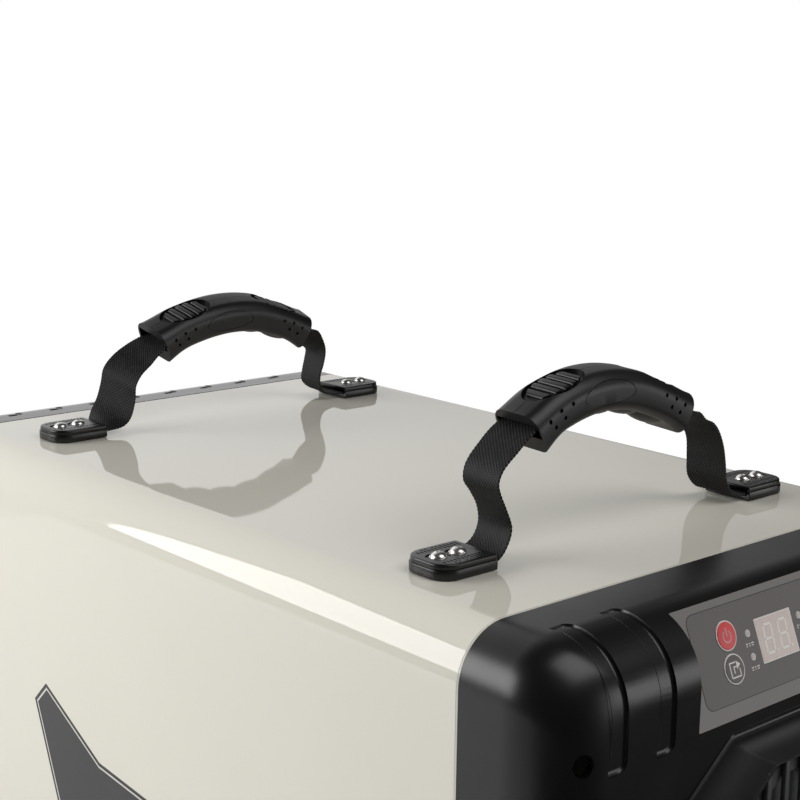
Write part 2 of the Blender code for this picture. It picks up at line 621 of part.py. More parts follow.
def compressor_set():
    x, y = COMPRESSOR
    body = [(0, 0.205), (0.030, 0.200), (0.050, 0.182), (0.058, 0.155), (0.058, 0.045), (0.050, 0.022),
            (0.032, 0.010), (0, 0.008)]
    shell = turned(body, (x, y, 0.030), 24)
    smooth(shell)
    keep(shell, "compressor", BLACK_STEEL)
    mount = box((x - 0.070, y - 0.070, 0.0300), (x + 0.070, y + 0.070, 0.0330), 0.002, 1)
    for dx, dy in ((-0.055, -0.055), (0.055, -0.055), (0, 0.058)):
        combine(mount, cylinder((x + dx, y + dy, 0.0256), (0, 0, 1), 0.011, 0.0110, 16), "UNION")
    keep(mount, "compressor_mount", GALVANISED)
    cold_y, hot_y = COIL_Y + 0.019, COIL_Y + 0.069
    discharge = [(x, y, 0.2356), (x, y, 0.2600), (x + 0.020, y - 0.020, 0.2800), (0.130, y - 0.060, 0.2900),
                 (0.166, y - 0.090, 0.3000), (0.1680, hot_y, 0.3050)]
    keep(tube(smooth_route(discharge), 0.0040), "discharge_pipe", COPPER)
    suction = [(x - 0.0600, y, 0.1500), (x - 0.080, y, 0.1500), (-0.020, y - 0.015, 0.1700),
               (-0.100, y - 0.060, 0.2300), (-0.163, y - 0.080, 0.2800), (-0.168, y - 0.130, 0.2900),
               (-0.168, cold_y, 0.2900)]
    keep(tube(smooth_route(suction), 0.0048), "suction_pipe", COPPER)
    drier = [(0, 0.050), (0.0040, 0.049), (0.0110, 0.040), (0.0110, -0.040), (0.0040, -0.049), (0, -0.050)]
    keep(turned(drier, (0.162, y - 0.050, 0.240), 12), "filter_drier", COPPER)
    capillary = [(0.162, y - 0.050, 0.1894), (0.162, y - 0.051, 0.1700), (0.172, y - 0.070, 0.1500),
                 (0.175, y - 0.100, 0.1450), (0.1750, hot_y, 0.1400), (0.1750, cold_y, 0.1400)]
    keep(tube(smooth_route(capillary), 0.0016), "capillary_tube", COPPER)


def fan_set():
    """The shroud, and the fan that draws the air through it, on a motor held by two rails."""
    shroud = box((-0.176, FAN_Y - 0.002, 0.075), (0.176, FAN_Y, 0.405))
    rim = cylinder((0, FAN_Y + 0.012, MID_Z), (0, 1, 0), FAN_RADIUS + 0.010, 0.027, 36)
    combine(shroud, rim, "UNION")
    combine(shroud, cylinder((0, FAN_Y, MID_Z), (0, 1, 0), FAN_RADIUS + 0.006, 0.12, 36))
    keep(shroud, "fan_shroud", GREY_PLASTIC)

    hub = cylinder((0, FAN_Y + 0.012, MID_Z), (0, 1, 0), 0.034, 0.026, 24)
    for k in range(5):
        blade = box((-0.026, -0.0012, 0.028), (0.026, 0.0012, FAN_RADIUS), 0)
        turn = Matrix.Rotation(math.radians(72 * k), 4, "Y") @ Matrix.Rotation(math.radians(24), 4, "Z")
        blade.data.transform(Matrix.Translation((0, 0, (0.028 + FAN_RADIUS) / 2)))
        blade.data.transform(turn)
        blade.location = (0, FAN_Y + 0.012, MID_Z)
        combine(hub, blade, "UNION")
    combine(hub, cylinder((0, FAN_Y, MID_Z), (0, 1, 0), 0.0034, 0.12, 16))
    keep(hub, "fan_impeller", BLACK_ABS)

    motor = cylinder((0, FAN_Y - 0.040, MID_Z), (0, 1, 0), 0.045, 0.066, 28)
    add_bevel(motor, 0.005, 2)
    combine(motor, cylinder((0, FAN_Y, MID_Z), (0, 1, 0), 0.0030, 0.060, 14), "UNION")
    keep(motor, "fan_motor", BLACK_STEEL)
    bracket_y = (FAN_Y - 0.020, FAN_Y - 0.0024)
    holder = box((-0.0615, bracket_y[0], 0.0765), (-0.0455, bracket_y[1], 0.4035), 0.001, 1)
    combine(holder, box((0.0455, bracket_y[0], 0.0765), (0.0615, bracket_y[1], 0.4035), 0.001, 1), "UNION")
    for z in (MID_Z - 0.060, MID_Z + 0.060):
        bar = box((-0.050, bracket_y[0] + 0.002, z - 0.006), (0.050, bracket_y[1] - 0.002, z + 0.006))
        combine(holder, bar, "UNION")
    keep(holder, "fan_motor_bracket", GALVANISED)


def drain_set():
    """The condensate pump under the drain pan, its float, and the hose to the outlet at the back."""
    x, y = -0.120, COMPRESSOR[1] - 0.020
    low, high = (x - 0.045, y - 0.055, BASE_Z + 0.002), (x + 0.045, y + 0.055, 0.0780)
    tank = box(low, high, 0.003, 1)
    combine(tank, box((low[0] + 0.003, low[1] + 0.003, low[2] + 0.003),
                      (high[0] - 0.003, high[1] - 0.003, 0.10)))
    keep(tank, "pump_tank", WHITE_NYLON)
    float_profile = [(0, 0.012), (0.012, 0.012), (0.014, 0.009),
                     (0.014, -0.009), (0.012, -0.012), (0, -0.012)]
    keep(turned(float_profile, (x - 0.020, y - 0.030, 0.0360), 16), "pump_float", WHITE_NYLON)
    motor = cylinder((x + 0.015, y + 0.020, 0.0905), (0, 0, 1), 0.022, 0.0300, 20)
    combine(motor, cylinder((x + 0.015, y + 0.020, 0.055), (0, 0, 1), 0.008, 0.050, 14), "UNION")
    lid = box((x - 0.010, y - 0.005, 0.0785), (x + 0.044, y + 0.054, 0.0815), 0.001, 1)
    combine(motor, lid, "UNION")
    keep(motor, "condensate_pump", BLACK_ABS)
    hose = [(x + 0.0380, y + 0.020, 0.0920), (x + 0.0600, y + 0.030, 0.0880), (-0.045, y + 0.070, 0.0500),
            (-0.060, y + 0.150, 0.0420), (-0.110, SLEEVE_REAR - 0.090, 0.0420),
            (-0.130, SLEEVE_REAR - 0.030, 0.0560), (-0.130, REAR_Y - 0.0185, 0.0600)]
    keep(tube(smooth_route(hose), 0.0050), "drain_hose", GREY_PLASTIC)
    outlet = [(0, SPIGOT_LENGTH), (0.0065, SPIGOT_LENGTH), (0.0080, 0.016), (0.0062, 0.013),
              (0.0062, 0.008), (0.0160, 0.006), (0.0160, GAP), (0.0115, GAP), (0.0115, -0.016), (0, -0.016)]
    fitting = turned(outlet, (-0.130, REAR_Y, 0.060), 18)
    fitting.rotation_euler = (-math.pi / 2, 0, 0)
    keep(fitting, "drain_fitting", BLACK_ABS)


def electric_set():
    y = COMPRESSOR[1]
    cover = box((-0.172, y + 0.050, 0.300), (-0.070, y + 0.180, 0.395), 0.003, 1)
    keep(cover, "control_box", GALVANISED)
    capacitor = cylinder((0.150, y + 0.110, 0.0560), (0, 0, 1), 0.020, 0.0700, 20)
    add_bevel(capacitor, 0.003, 2)
    keep(capacitor, "run_capacitor", GREY_PLASTIC)
    inlet = box((0.130 - 0.022, REAR_Y + GAP, 0.046), (0.130 + 0.022, REAR_Y + 0.005, 0.074), 0.002, 2)
    combine(inlet, cylinder((0.130, REAR_Y - 0.010, 0.060), (0, 1, 0), 0.0100, 0.024, 18), "UNION")
    combine(inlet, cylinder((0.130, REAR_Y, 0.060), (0, 1, 0), 0.0045, 0.08, 14))
    keep(inlet, "power_inlet", BLACK_ABS)
    sensor = box((-0.012, COIL_Y - 0.022, 0.3920), (0.012, COIL_Y - 0.017, 0.4080), 0.001, 1)
    keep(sensor, "humidity_sensor", WHITE_NYLON)


def build():
    frame = panel_frame()
    case_shell()
    front_cap(frame)
    rear_cap()
    intake_grille()
    outlet_grille()
    air_filter()
    control_panel(frame)
    levelling_feet()
    handles()
    coils()
    compressor_set()
    fan_set()
    drain_set()
    electric_set()


build()
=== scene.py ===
"""The looks of a portable basement dehumidifier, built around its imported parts.

Metres, +Z up. The front, with the control panel and the air intake, faces -Y."""

import bisect
import json
import math

import bmesh
import bpy
from mathutils import Matrix, Vector


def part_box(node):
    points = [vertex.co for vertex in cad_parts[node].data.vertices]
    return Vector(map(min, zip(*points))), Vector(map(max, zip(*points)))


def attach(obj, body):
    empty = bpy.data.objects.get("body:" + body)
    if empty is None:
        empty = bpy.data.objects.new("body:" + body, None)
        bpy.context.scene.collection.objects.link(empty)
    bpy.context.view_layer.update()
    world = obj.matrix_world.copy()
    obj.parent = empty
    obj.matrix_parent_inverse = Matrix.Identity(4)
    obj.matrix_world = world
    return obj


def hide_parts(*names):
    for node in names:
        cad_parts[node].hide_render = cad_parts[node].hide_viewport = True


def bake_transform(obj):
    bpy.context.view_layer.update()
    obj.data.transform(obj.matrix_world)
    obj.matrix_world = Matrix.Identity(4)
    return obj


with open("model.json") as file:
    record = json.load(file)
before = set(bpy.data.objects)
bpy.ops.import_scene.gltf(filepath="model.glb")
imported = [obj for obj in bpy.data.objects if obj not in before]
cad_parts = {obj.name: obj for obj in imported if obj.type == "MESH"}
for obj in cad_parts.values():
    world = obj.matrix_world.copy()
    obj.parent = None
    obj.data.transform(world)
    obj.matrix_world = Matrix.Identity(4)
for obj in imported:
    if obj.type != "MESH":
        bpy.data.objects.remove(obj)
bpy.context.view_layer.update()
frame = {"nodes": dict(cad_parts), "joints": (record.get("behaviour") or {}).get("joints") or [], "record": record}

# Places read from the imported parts
SLEEVE_LOW, SLEEVE_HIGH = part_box("case_sleeve")
HALF, TOP = SLEEVE_HIGH.x, SLEEVE_HIGH.z
SLEEVE_FRONT, SLEEVE_REAR = SLEEVE_LOW.y, SLEEVE_HIGH.y
FRONT_Y, REAR_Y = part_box("front_cap")[0].y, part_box("rear_cap")[1].y
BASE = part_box("front_cap")[0].z
MID_Z = TOP - 0.2125
GAP = 0.0003

# The case
EDGE_RADIUS, LOW_RADIUS = 0.030, 0.010
CAP_ROUND = 0.0365
SHEET, WALL = 0.0012, 0.004
GROOVE = 0.0021

# The sloping panel: its outward normal is against the way that its keys are pressed
PRESS = next(joint for joint in frame["joints"] if joint["name"] == "power_press")
PANEL_OUT = -Vector(PRESS["axis"]).normalized()
PANEL_UP = PANEL_OUT.cross(Vector((1, 0, 0)))
PLATE_THICK = 0.0015
PLATE_LOW, PLATE_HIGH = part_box("control_plate")
PANEL_ORIGIN = (PLATE_LOW + PLATE_HIGH) / 2 + PANEL_OUT * PLATE_THICK / 2
PANEL = Matrix.Translation(PANEL_ORIGIN) @ Matrix(((1, 0, 0), PANEL_UP, PANEL_OUT)).transposed().to_4x4()
PANEL_HALF = PLATE_HIGH.x
PANEL_RISE = (PLATE_HIGH.z - PLATE_LOW.z - PLATE_THICK * PANEL_OUT.z) / PANEL_UP.z / 2

# Handles
FRONT_HANDLE_Y = (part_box("front_grip")[0].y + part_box("front_grip")[1].y) / 2
REAR_HANDLE_Y = (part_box("rear_grip")[0].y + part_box("rear_grip")[1].y) / 2
STRAP_WIDTH, STRAP_THICK, STRAP_Z = 0.0290, 0.0016, 0.0045
GRIP_WIDTH, GRIP_THICK = 0.034, 0.022
BRACKET_LOW, BRACKET_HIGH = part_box("front_bracket_right")
BRACKET_INNER, BRACKET_OUTER = BRACKET_LOW.x, BRACKET_HIGH.x
BRACKET_WIDTH, BRACKET_HEIGHT = BRACKET_HIGH.y - BRACKET_LOW.y, 0.009
SCREWS_X = (0.1230, 0.1370)


# ---- Camera, light and floor ----

AZIMUTH, ELEVATION, ROLL = 0.7232, 0.2063, 0.0133
BACKDROP_WAY = (0.09, 0.98, 0.17)
ROOM_LIGHT, BACKDROP_LIGHT = 0.045, 1.05


def place_camera():
    """The camera stands in front of the left side, a little above the top, and is rolled slightly."""
    forward = Vector((math.sin(AZIMUTH) * math.cos(ELEVATION), math.cos(AZIMUTH) * math.cos(ELEVATION),
                      -math.sin(ELEVATION)))
    right = forward.cross(Vector((0, 0, 1))).normalized()
    up = right.cross(forward)
    turned_right = math.cos(ROLL) * right + math.sin(ROLL) * up
    turned_up = math.cos(ROLL) * up - math.sin(ROLL) * right
    lens = bpy.data.cameras.new("camera")
    lens.lens, lens.sensor_width = 72.835, 36
    lens.clip_start, lens.clip_end = 0.05, 60
    camera = bpy.data.objects.new("camera", lens)
    width = 2 * HALF
    stand = Vector((-1.8213 * width, SLEEVE_FRONT - 1.3804 * width, TOP + 0.6917 * width))
    axes = Matrix((turned_right, turned_up, -forward)).transposed().to_4x4()
    camera.matrix_world = Matrix.Translation(stand) @ axes
    bpy.context.scene.collection.objects.link(camera)
    bpy.context.scene.camera = camera
    bpy.context.scene.view_settings.view_transform = "Standard"


def surround_with_room():
    """A dim room with a bright backdrop behind the machine; the camera itself sees plain white all round."""
    surround = bpy.data.worlds.new("surround")
    bpy.context.scene.world = surround
    surround.use_nodes = True
    nodes, links = surround.node_tree.nodes, surround.node_tree.links
    way = nodes.new("ShaderNodeTexCoord")
    backdrop = nodes.new("ShaderNodeVectorMath")
    backdrop.operation = "DOT_PRODUCT"
    backdrop.inputs[1].default_value = BACKDROP_WAY
    links.new(way.outputs["Generated"], backdrop.inputs[0])
    spread = nodes.new("ShaderNodeMapRange")
    spread.interpolation_type = "SMOOTHSTEP"
    spread.inputs["From Min"].default_value, spread.inputs["From Max"].default_value = 0.50, 0.95
    spread.inputs["To Min"].default_value, spread.inputs["To Max"].default_value = ROOM_LIGHT, BACKDROP_LIGHT
    links.new(backdrop.outputs["Value"], spread.inputs["Value"])
    seen = nodes.new("ShaderNodeLightPath")
    white = nodes.new("ShaderNodeMix")
    white.inputs["B"].default_value = 1.0
    links.new(seen.outputs["Is Camera Ray"], white.inputs["Factor"])
    links.new(spread.outputs["Result"], white.inputs["A"])
    links.new(white.outputs["Result"], nodes["Background"].inputs["Strength"])
    nodes["Background"].inputs["Color"].default_value = (1, 1, 1, 1)


def soft_light(name, stand, aim, wide, high, power):
    """A rectangular lamp that faces a point."""
    lamp = bpy.data.lights.new(name, "AREA")
    lamp.shape, lamp.size, lamp.size_y, lamp.energy = "RECTANGLE", wide, high, power
    holder = bpy.data.objects.new(name, lamp)
    toward = Vector(aim) - Vector(stand)
    holder.matrix_world = Matrix.Translation(stand) @ toward.to_track_quat("-Z", "Y").to_matrix().to_4x4()
    bpy.context.scene.collection.objects.link(holder)


def studio():
    """The camera, the room, three soft lights and a pale floor."""
    place_camera()
    surround_with_room()
    soft_light("left_rear_light", (-1.71, 1.05, 1.07), (-0.15, 0, 0.55), 1.60, 1.20, 34)
    soft_light("low_front_light", (1.15, -1.58, 0.46), (-0.14, -0.33, 0.40), 1.1, 0.6, 5.5)
    soft_light("overhead_light", (0.30, -1.15, 1.75), (0, -0.30, 0.40), 1.2, 1.2, 11.5)
    bpy.ops.object.select_all(action="DESELECT")
    bpy.ops.mesh.primitive_plane_add(size=2.0, location=(-0.62, 0.42, 0))
    floor = bpy.context.object
    floor.name = "studio_floor"
    floor.data.materials.append(plain_material("pale_floor", (0.93, 0.93, 0.93), 0.9))


# ---- Materials ----

def plain_material(name, colour, roughness):
    made = bpy.data.materials.new(name)
    made.use_nodes = True
    shader = made.node_tree.nodes["Principled BSDF"]
    shader.inputs["Base Color"].default_value = (*colour, 1)
    shader.inputs["Roughness"].default_value = roughness
    return made


def shared_effect(name, inputs, outputs):
    """An empty node group with value inputs and outputs, and its two end nodes."""
    group = bpy.data.node_groups.new(name, "ShaderNodeTree")
    for label, value in inputs:
        socket = group.interface.new_socket(label, in_out="INPUT", socket_type="NodeSocketFloat")
        socket.default_value = value
    for label in outputs:
        group.interface.new_socket(label, in_out="OUTPUT", socket_type="NodeSocketFloat")
    return group, group.nodes.new("NodeGroupInput"), group.nodes.new("NodeGroupOutput")


def moulded_grain():
    """Fine raised grain over a slow change of tone, on the piece's own place."""
    group, start, end = shared_effect("moulded_grain", [("Grain", 1500.0), ("Patches", 18.0)],
                                      ["Height", "Tone"])
    nodes, links = group.nodes, group.links
    place = nodes.new("ShaderNodeTexCoord")
    for label, output, detail in (("Grain", "Height", 2.0), ("Patches", "Tone", 4.0)):
        noise = nodes.new("ShaderNodeTexNoise")
        noise.inputs["Detail"].default_value = detail
        links.new(place.outputs["Object"], noise.inputs["Vector"])
        links.new(start.outputs[label], noise.inputs["Scale"])
        links.new(noise.outputs["Fac"], end.inputs[output])
    return group


def brushed_lines():
    """Fine lines drawn along one direction, as the edges of packed fins make."""
    group, start, end = shared_effect("drawn_lines", [("Across", 900.0), ("Along", 12.0)], ["Height"])
    nodes, links = group.nodes, group.links
    place = nodes.new("ShaderNodeTexCoord")
    stretch = nodes.new("ShaderNodeCombineXYZ")
    for label, axis in (("Across", "X"), ("Along", "Y"), ("Along", "Z")):
        links.new(start.outputs[label], stretch.inputs[axis])
    scaled = nodes.new("ShaderNodeVectorMath")
    scaled.operation = "MULTIPLY"
    links.new(place.outputs["Object"], scaled.inputs[0])
    links.new(stretch.outputs[0], scaled.inputs[1])
    noise = nodes.new("ShaderNodeTexNoise")
    noise.inputs["Scale"].default_value = 1.0
    noise.inputs["Detail"].default_value = 3.0
    links.new(scaled.outputs[0], noise.inputs["Vector"])
    links.new(noise.outputs["Fac"], end.inputs["Height"])
    return group


GRAIN = moulded_grain()
LINES = brushed_lines()
FINISH = {}


def use(tree, group, **values):
    """Places a shared effect in a material with its own values."""
    node = tree.nodes.new("ShaderNodeGroup")
    node.node_tree = group
    for label, value in values.items():
        node.inputs[label].default_value = value
    return node


def ranged(tree, source, low, high):
    """A value from 0 to 1 spread between low and high."""
    node = tree.nodes.new("ShaderNodeMapRange")
    node.inputs["From Min"].default_value, node.inputs["From Max"].default_value = 0.25, 0.75
    node.inputs["To Min"].default_value, node.inputs["To Max"].default_value = low, high
    tree.links.new(source, node.inputs["Value"])
    return node.outputs["Result"]


def toned(tree, source, dark, light):
    """A colour between dark and light."""
    node = tree.nodes.new("ShaderNodeMix")
    node.data_type = "RGBA"
    node.inputs["A"].default_value, node.inputs["B"].default_value = (*dark, 1), (*light, 1)
    tree.links.new(ranged(tree, source, 0, 1), node.inputs["Factor"])
    return node.outputs["Result"]


def bumped(tree, height, strength, distance):
    bump = tree.nodes.new("ShaderNodeBump")
    bump.inputs["Strength"].default_value = strength
    bump.inputs["Distance"].default_value = distance
    tree.links.new(height, bump.inputs["Height"])
    return bump.outputs["Normal"]


def finish(name, dark, light, roughness, grain=1500.0, patches=18.0, relief=0.00004, strength=0.5,
           effect=None, **constants):
    """A finish whose colour and roughness drift slowly over the piece, with fine relief."""
    made = bpy.data.materials.new(name)
    made.use_nodes = True
    tree = made.node_tree
    shader = tree.nodes["Principled BSDF"]
    surface = use(tree, GRAIN, Grain=grain, Patches=patches)
    tree.links.new(toned(tree, surface.outputs["Tone"], dark, light), shader.inputs["Base Color"])
    tree.links.new(ranged(tree, surface.outputs["Tone"], *roughness), shader.inputs["Roughness"])
    relief_source = surface.outputs["Height"]
    if effect:
        relief_source = use(tree, effect).outputs["Height"]
    tree.links.new(bumped(tree, relief_source, strength, relief), shader.inputs["Normal"])
    for label, value in constants.items():
        shader.inputs[label.replace("_", " ")].default_value = value
    FINISH[name] = made


def crossing_yarns():
    """Where one yarn passes over another: high on every second crossing, counted along the piece's own UV."""
    group, start, end = shared_effect("crossing_yarns", [("Sharpness", 0.55)], ["Height", "Crest"])
    nodes, links = group.nodes, group.links
    place = nodes.new("ShaderNodeTexCoord")
    parts = nodes.new("ShaderNodeSeparateXYZ")
    links.new(place.outputs["UV"], parts.inputs[0])
    waves = []
    for axis in ("X", "Y"):
        turn = nodes.new("ShaderNodeMath")
        turn.operation, turn.inputs[1].default_value = "MULTIPLY", math.pi / 2
        links.new(parts.outputs[axis], turn.inputs[0])
        wave = nodes.new("ShaderNodeMath")
        wave.operation = "COSINE"
        links.new(turn.outputs[0], wave.inputs[0])
        waves.append(wave)
    height = nodes.new("ShaderNodeMath")
    height.operation = "MULTIPLY"
    for k, wave in enumerate(waves):
        links.new(wave.outputs[0], height.inputs[k])
    links.new(height.outputs[0], end.inputs["Height"])
    # Crest: the tops of the yarns, where the webbing's painted highlight goes
    crest = nodes.new("ShaderNodeMapRange")
    crest.interpolation_type = "SMOOTHSTEP"
    links.new(height.outputs[0], crest.inputs["Value"])
    links.new(start.outputs["Sharpness"], crest.inputs["From Min"])
    links.new(crest.outputs["Result"], end.inputs["Crest"])
    return group


YARNS = crossing_yarns()


def woven_finish(name, dark, light, roughness):
    """Webbing: a painted highlight makes it pale where a yarn comes to the top; dark and dull between, with fibres
    as fine relief.
    """
    made = bpy.data.materials.new(name)
    made.use_nodes = True
    tree = made.node_tree
    shader = tree.nodes["Principled BSDF"]
    yarns = use(tree, YARNS, Sharpness=0.55)
    fibres = use(tree, GRAIN, Grain=3200.0, Patches=260.0)
    # Painted highlight: pale colour on the yarn tops, its strength varied by the fibres' tone
    painted_crest_highlight = tree.nodes.new("ShaderNodeMath")
    painted_crest_highlight.operation = "MULTIPLY"
    tree.links.new(yarns.outputs["Crest"], painted_crest_highlight.inputs[0])
    tree.links.new(ranged(tree, fibres.outputs["Tone"], 0.35, 1.0), painted_crest_highlight.inputs[1])
    tree.links.new(toned(tree, painted_crest_highlight.outputs[0], dark, light), shader.inputs["Base Color"])
    tree.links.new(ranged(tree, painted_crest_highlight.outputs[0], *roughness), shader.inputs["Roughness"])
    tree.links.new(bumped(tree, fibres.outputs["Height"], 0.5, 0.0001), shader.inputs["Normal"])
    shader.inputs["Specular IOR Level"].default_value = 0.25
    FINISH[name] = made


def make_finishes():
    """Every finish of the object."""
    finish("ivory_paint", (0.775, 0.748, 0.652), (0.795, 0.768, 0.672), (0.030, 0.045), grain=420,
           patches=6, relief=0.000012, strength=0.25, IOR=1.5)
    finish("satin_black", (0.0040, 0.0040, 0.0044), (0.0058, 0.0058, 0.0062), (0.28, 0.36), grain=2600,
           relief=0.00003, strength=0.35, IOR=1.5)
    finish("rear_black", (0.0040, 0.0040, 0.0044), (0.0058, 0.0058, 0.0062), (0.15, 0.20), grain=2600,
           relief=0.00002, strength=0.3, IOR=1.5)
    finish("grip_black", (0.0042, 0.0042, 0.0046), (0.0060, 0.0060, 0.0064), (0.38, 0.46), grain=2200,
           relief=0.00004, strength=0.4)
    # A little darker than the cap's black: painted shade in the intake's recessed channel
    finish("recess_black", (0.0035, 0.0035, 0.0040), (0.0052, 0.0052, 0.0057), (0.42, 0.52), grain=1900,
           relief=0.00004, strength=0.4, Specular_IOR_Level=0.3)
    finish("label_grey", (0.170, 0.156, 0.152), (0.186, 0.171, 0.167), (0.42, 0.5), grain=2400,
           Specular_IOR_Level=0.3)
    finish("label_border", (0.232, 0.217, 0.206), (0.254, 0.238, 0.226), (0.38, 0.46), grain=2400,
           Specular_IOR_Level=0.3)
    finish("print_black", (0.012, 0.012, 0.012), (0.02, 0.02, 0.02), (0.4, 0.5))
    finish("print_white", (0.90, 0.86, 0.81), (0.95, 0.91, 0.86), (0.4, 0.5))
    finish("key_red", (0.86, 0.098, 0.104), (0.92, 0.115, 0.122), (0.38, 0.46), Specular_IOR_Level=0.3)
    finish("key_grey", (0.085, 0.078, 0.076), (0.10, 0.092, 0.09), (0.38, 0.46))
    finish("display_field", (0.69, 0.56, 0.51), (0.74, 0.61, 0.56), (0.2, 0.3))
    finish("segment", (0.93, 0.92, 0.84), (0.97, 0.96, 0.88), (0.3, 0.4))
    finish("slat_grey", (0.045, 0.045, 0.046), (0.055, 0.055, 0.056), (0.34, 0.42))
    finish("mark_rose", (0.62, 0.33, 0.33), (0.70, 0.40, 0.40), (0.35, 0.45))
    finish("lamp_ring", (0.78, 0.74, 0.69), (0.84, 0.80, 0.75), (0.3, 0.4))
    finish("lamp_lens", (0.42, 0.40, 0.38), (0.50, 0.48, 0.46), (0.15, 0.25))
    finish("chrome", (0.72, 0.71, 0.68), (0.82, 0.81, 0.79), (0.22, 0.32), grain=900, relief=0.00001,
           Metallic=1.0)
    finish("galvanised", (0.45, 0.46, 0.47), (0.62, 0.63, 0.64), (0.35, 0.55), grain=220, patches=60,
           relief=0.00002, Metallic=0.9)
    finish("rubber", (0.016, 0.016, 0.016), (0.026, 0.026, 0.026), (0.7, 0.85), grain=1800, relief=0.0001)
    finish("decal_grey", (0.048, 0.048, 0.048), (0.055, 0.055, 0.055), (0.18, 0.24),
           Specular_IOR_Level=0.25)
    finish("decal_light", (0.62, 0.61, 0.56), (0.68, 0.67, 0.62), (0.18, 0.24))
    finish("aluminium_fins", (0.62, 0.63, 0.64), (0.76, 0.77, 0.78), (0.3, 0.42), relief=0.0002,
           effect=LINES, Metallic=1.0)
    finish("copper", (0.62, 0.28, 0.16), (0.76, 0.40, 0.26), (0.25, 0.4), patches=90, Metallic=1.0)
    finish("black_steel", (0.02, 0.02, 0.021), (0.034, 0.034, 0.036), (0.25, 0.4), grain=700)
    finish("circuit_board", (0.012, 0.10, 0.04), (0.03, 0.16, 0.07), (0.4, 0.5), patches=220)
    finish("filter_mesh", (0.045, 0.047, 0.05), (0.09, 0.093, 0.097), (0.8, 0.95), grain=900, patches=400,
           relief=0.0005)
    finish("white_nylon", (0.70, 0.70, 0.68), (0.78, 0.78, 0.76), (0.42, 0.55))
    finish("grey_plastic", (0.060, 0.062, 0.065), (0.080, 0.083, 0.087), (0.42, 0.55))
    # The webbing's second colour is its painted highlight on the yarn tops
    woven_finish("webbing", (0.0018, 0.0018, 0.0020), (0.10, 0.10, 0.102), (0.60, 0.85))


make_finishes()


# ---- Modelling helpers ----

def only(piece):
    """Makes one piece the only selected one, and the active one."""
    bpy.ops.object.select_all(action="DESELECT")
    piece.select_set(True)
    bpy.context.view_layer.objects.active = piece


def start_piece(name):
    """Names the primitive just added and puts its size and place in its mesh."""
    piece = bpy.context.object
    piece.name = name
    piece.data.name = name
    bpy.ops.object.transform_apply(location=True, rotation=True, scale=True)
    return piece


def block(name, low, high):
    middle = [(a + b) / 2 for a, b in zip(low, high)]
    size = [b - a for a, b in zip(low, high)]
    bpy.ops.object.select_all(action="DESELECT")
    bpy.ops.mesh.primitive_cube_add(size=1, location=middle, scale=size)
    return start_piece(name)


def rod(name, centre, axis, radius, length, sides=32):
    """A round rod along an axis."""
    bpy.ops.object.select_all(action="DESELECT")
    turn = Vector(axis).to_track_quat("Z", "Y").to_euler()
    bpy.ops.mesh.primitive_cylinder_add(vertices=sides, radius=radius, depth=length,
                                        location=centre, rotation=turn)
    return start_piece(name)


def choose(piece, kind, test):
    """Enters edit mode on a piece with only the faces, edges or vertices that pass the test selected."""
    only(piece)
    bpy.ops.object.mode_set(mode="EDIT")
    bpy.ops.mesh.select_mode(type=kind)
    bpy.ops.mesh.select_all(action="DESELECT")
    shape = bmesh.from_edit_mesh(piece.data)
    items = {"FACE": shape.faces, "EDGE": shape.edges, "VERT": shape.verts}[kind]
    for item in items:
        item.select_set(bool(test(item)))
    shape.select_flush_mode()
    bmesh.update_edit_mesh(piece.data)


def done():
    bpy.ops.object.mode_set(mode="OBJECT")


def faces_out(piece):
    choose(piece, "FACE", lambda face: True)
    bpy.ops.mesh.normals_make_consistent(inside=False)
    done()


def apply(piece, kind, **settings):
    """Adds a modifier with these settings and applies it."""
    only(piece)
    modifier = piece.modifiers.new(kind.title(), kind)
    for label, value in settings.items():
        setattr(modifier, label, value)
    bpy.ops.object.modifier_apply(modifier=modifier.name)


def cut(piece, *tools, operation="DIFFERENCE"):
    """Cuts tools out of a piece, or joins them to it, and removes them."""
    for tool in tools:
        apply(piece, "BOOLEAN", operation=operation, solver="EXACT", object=tool)
        bpy.data.objects.remove(tool, do_unlink=True)
    return piece


def join(piece, *others):
    only(piece)
    for other in others:
        other.select_set(True)
    bpy.ops.object.join()
    return piece


def round_edges(piece, width, segments=2, angle=40):
    apply(piece, "BEVEL", width=width, segments=segments,
          limit_method="ANGLE", angle_limit=math.radians(angle))
    return piece


def smooth(piece, angle=35):
    only(piece)
    bpy.ops.object.shade_smooth_by_angle(angle=math.radians(angle))
    return piece


def place(piece, matrix):
    """Puts a place and a turn into the mesh."""
    piece.data.transform(matrix)
    piece.data.update()
    return piece


def dress(piece, body, material, stands_for=()):
    """Gives a finished piece its finish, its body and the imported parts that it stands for.

    A piece that bends between two bodies is given none here."""
    piece.data.materials.clear()
    piece.data.materials.append(FINISH[material])
    if body:
        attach(piece, body)
    if stands_for:
        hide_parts(*stands_for)
    return piece


def thickened(name, corners, through):
    """A flat face with these corners, made solid by moving a copy of it through a distance."""
    bpy.ops.object.select_all(action="DESELECT")
    bpy.ops.mesh.primitive_circle_add(vertices=len(corners), fill_type="NGON")
    piece = start_piece(name)
    for vertex, corner in zip(piece.data.vertices, corners):
        vertex.co = corner
    piece.data.update()
    choose(piece, "FACE", lambda face: True)
    bpy.ops.mesh.extrude_region_move(TRANSFORM_OT_translate={"value": through})
    bpy.ops.mesh.select_all(action="SELECT")
    bpy.ops.mesh.normals_make_consistent(inside=False)
    done()
    return piece


def slab(name, outline, low_y, high_y):
    """An upright plate of this outline, between two depths."""
    return thickened(name, [(x, low_y, z) for x, z in outline], (0, high_y - low_y, 0))


def plate(name, outline, low, high):
    """A level plate of this outline, between two heights."""
    return thickened(name, [(x, y, low) for x, y in outline], (0, 0, high - low))


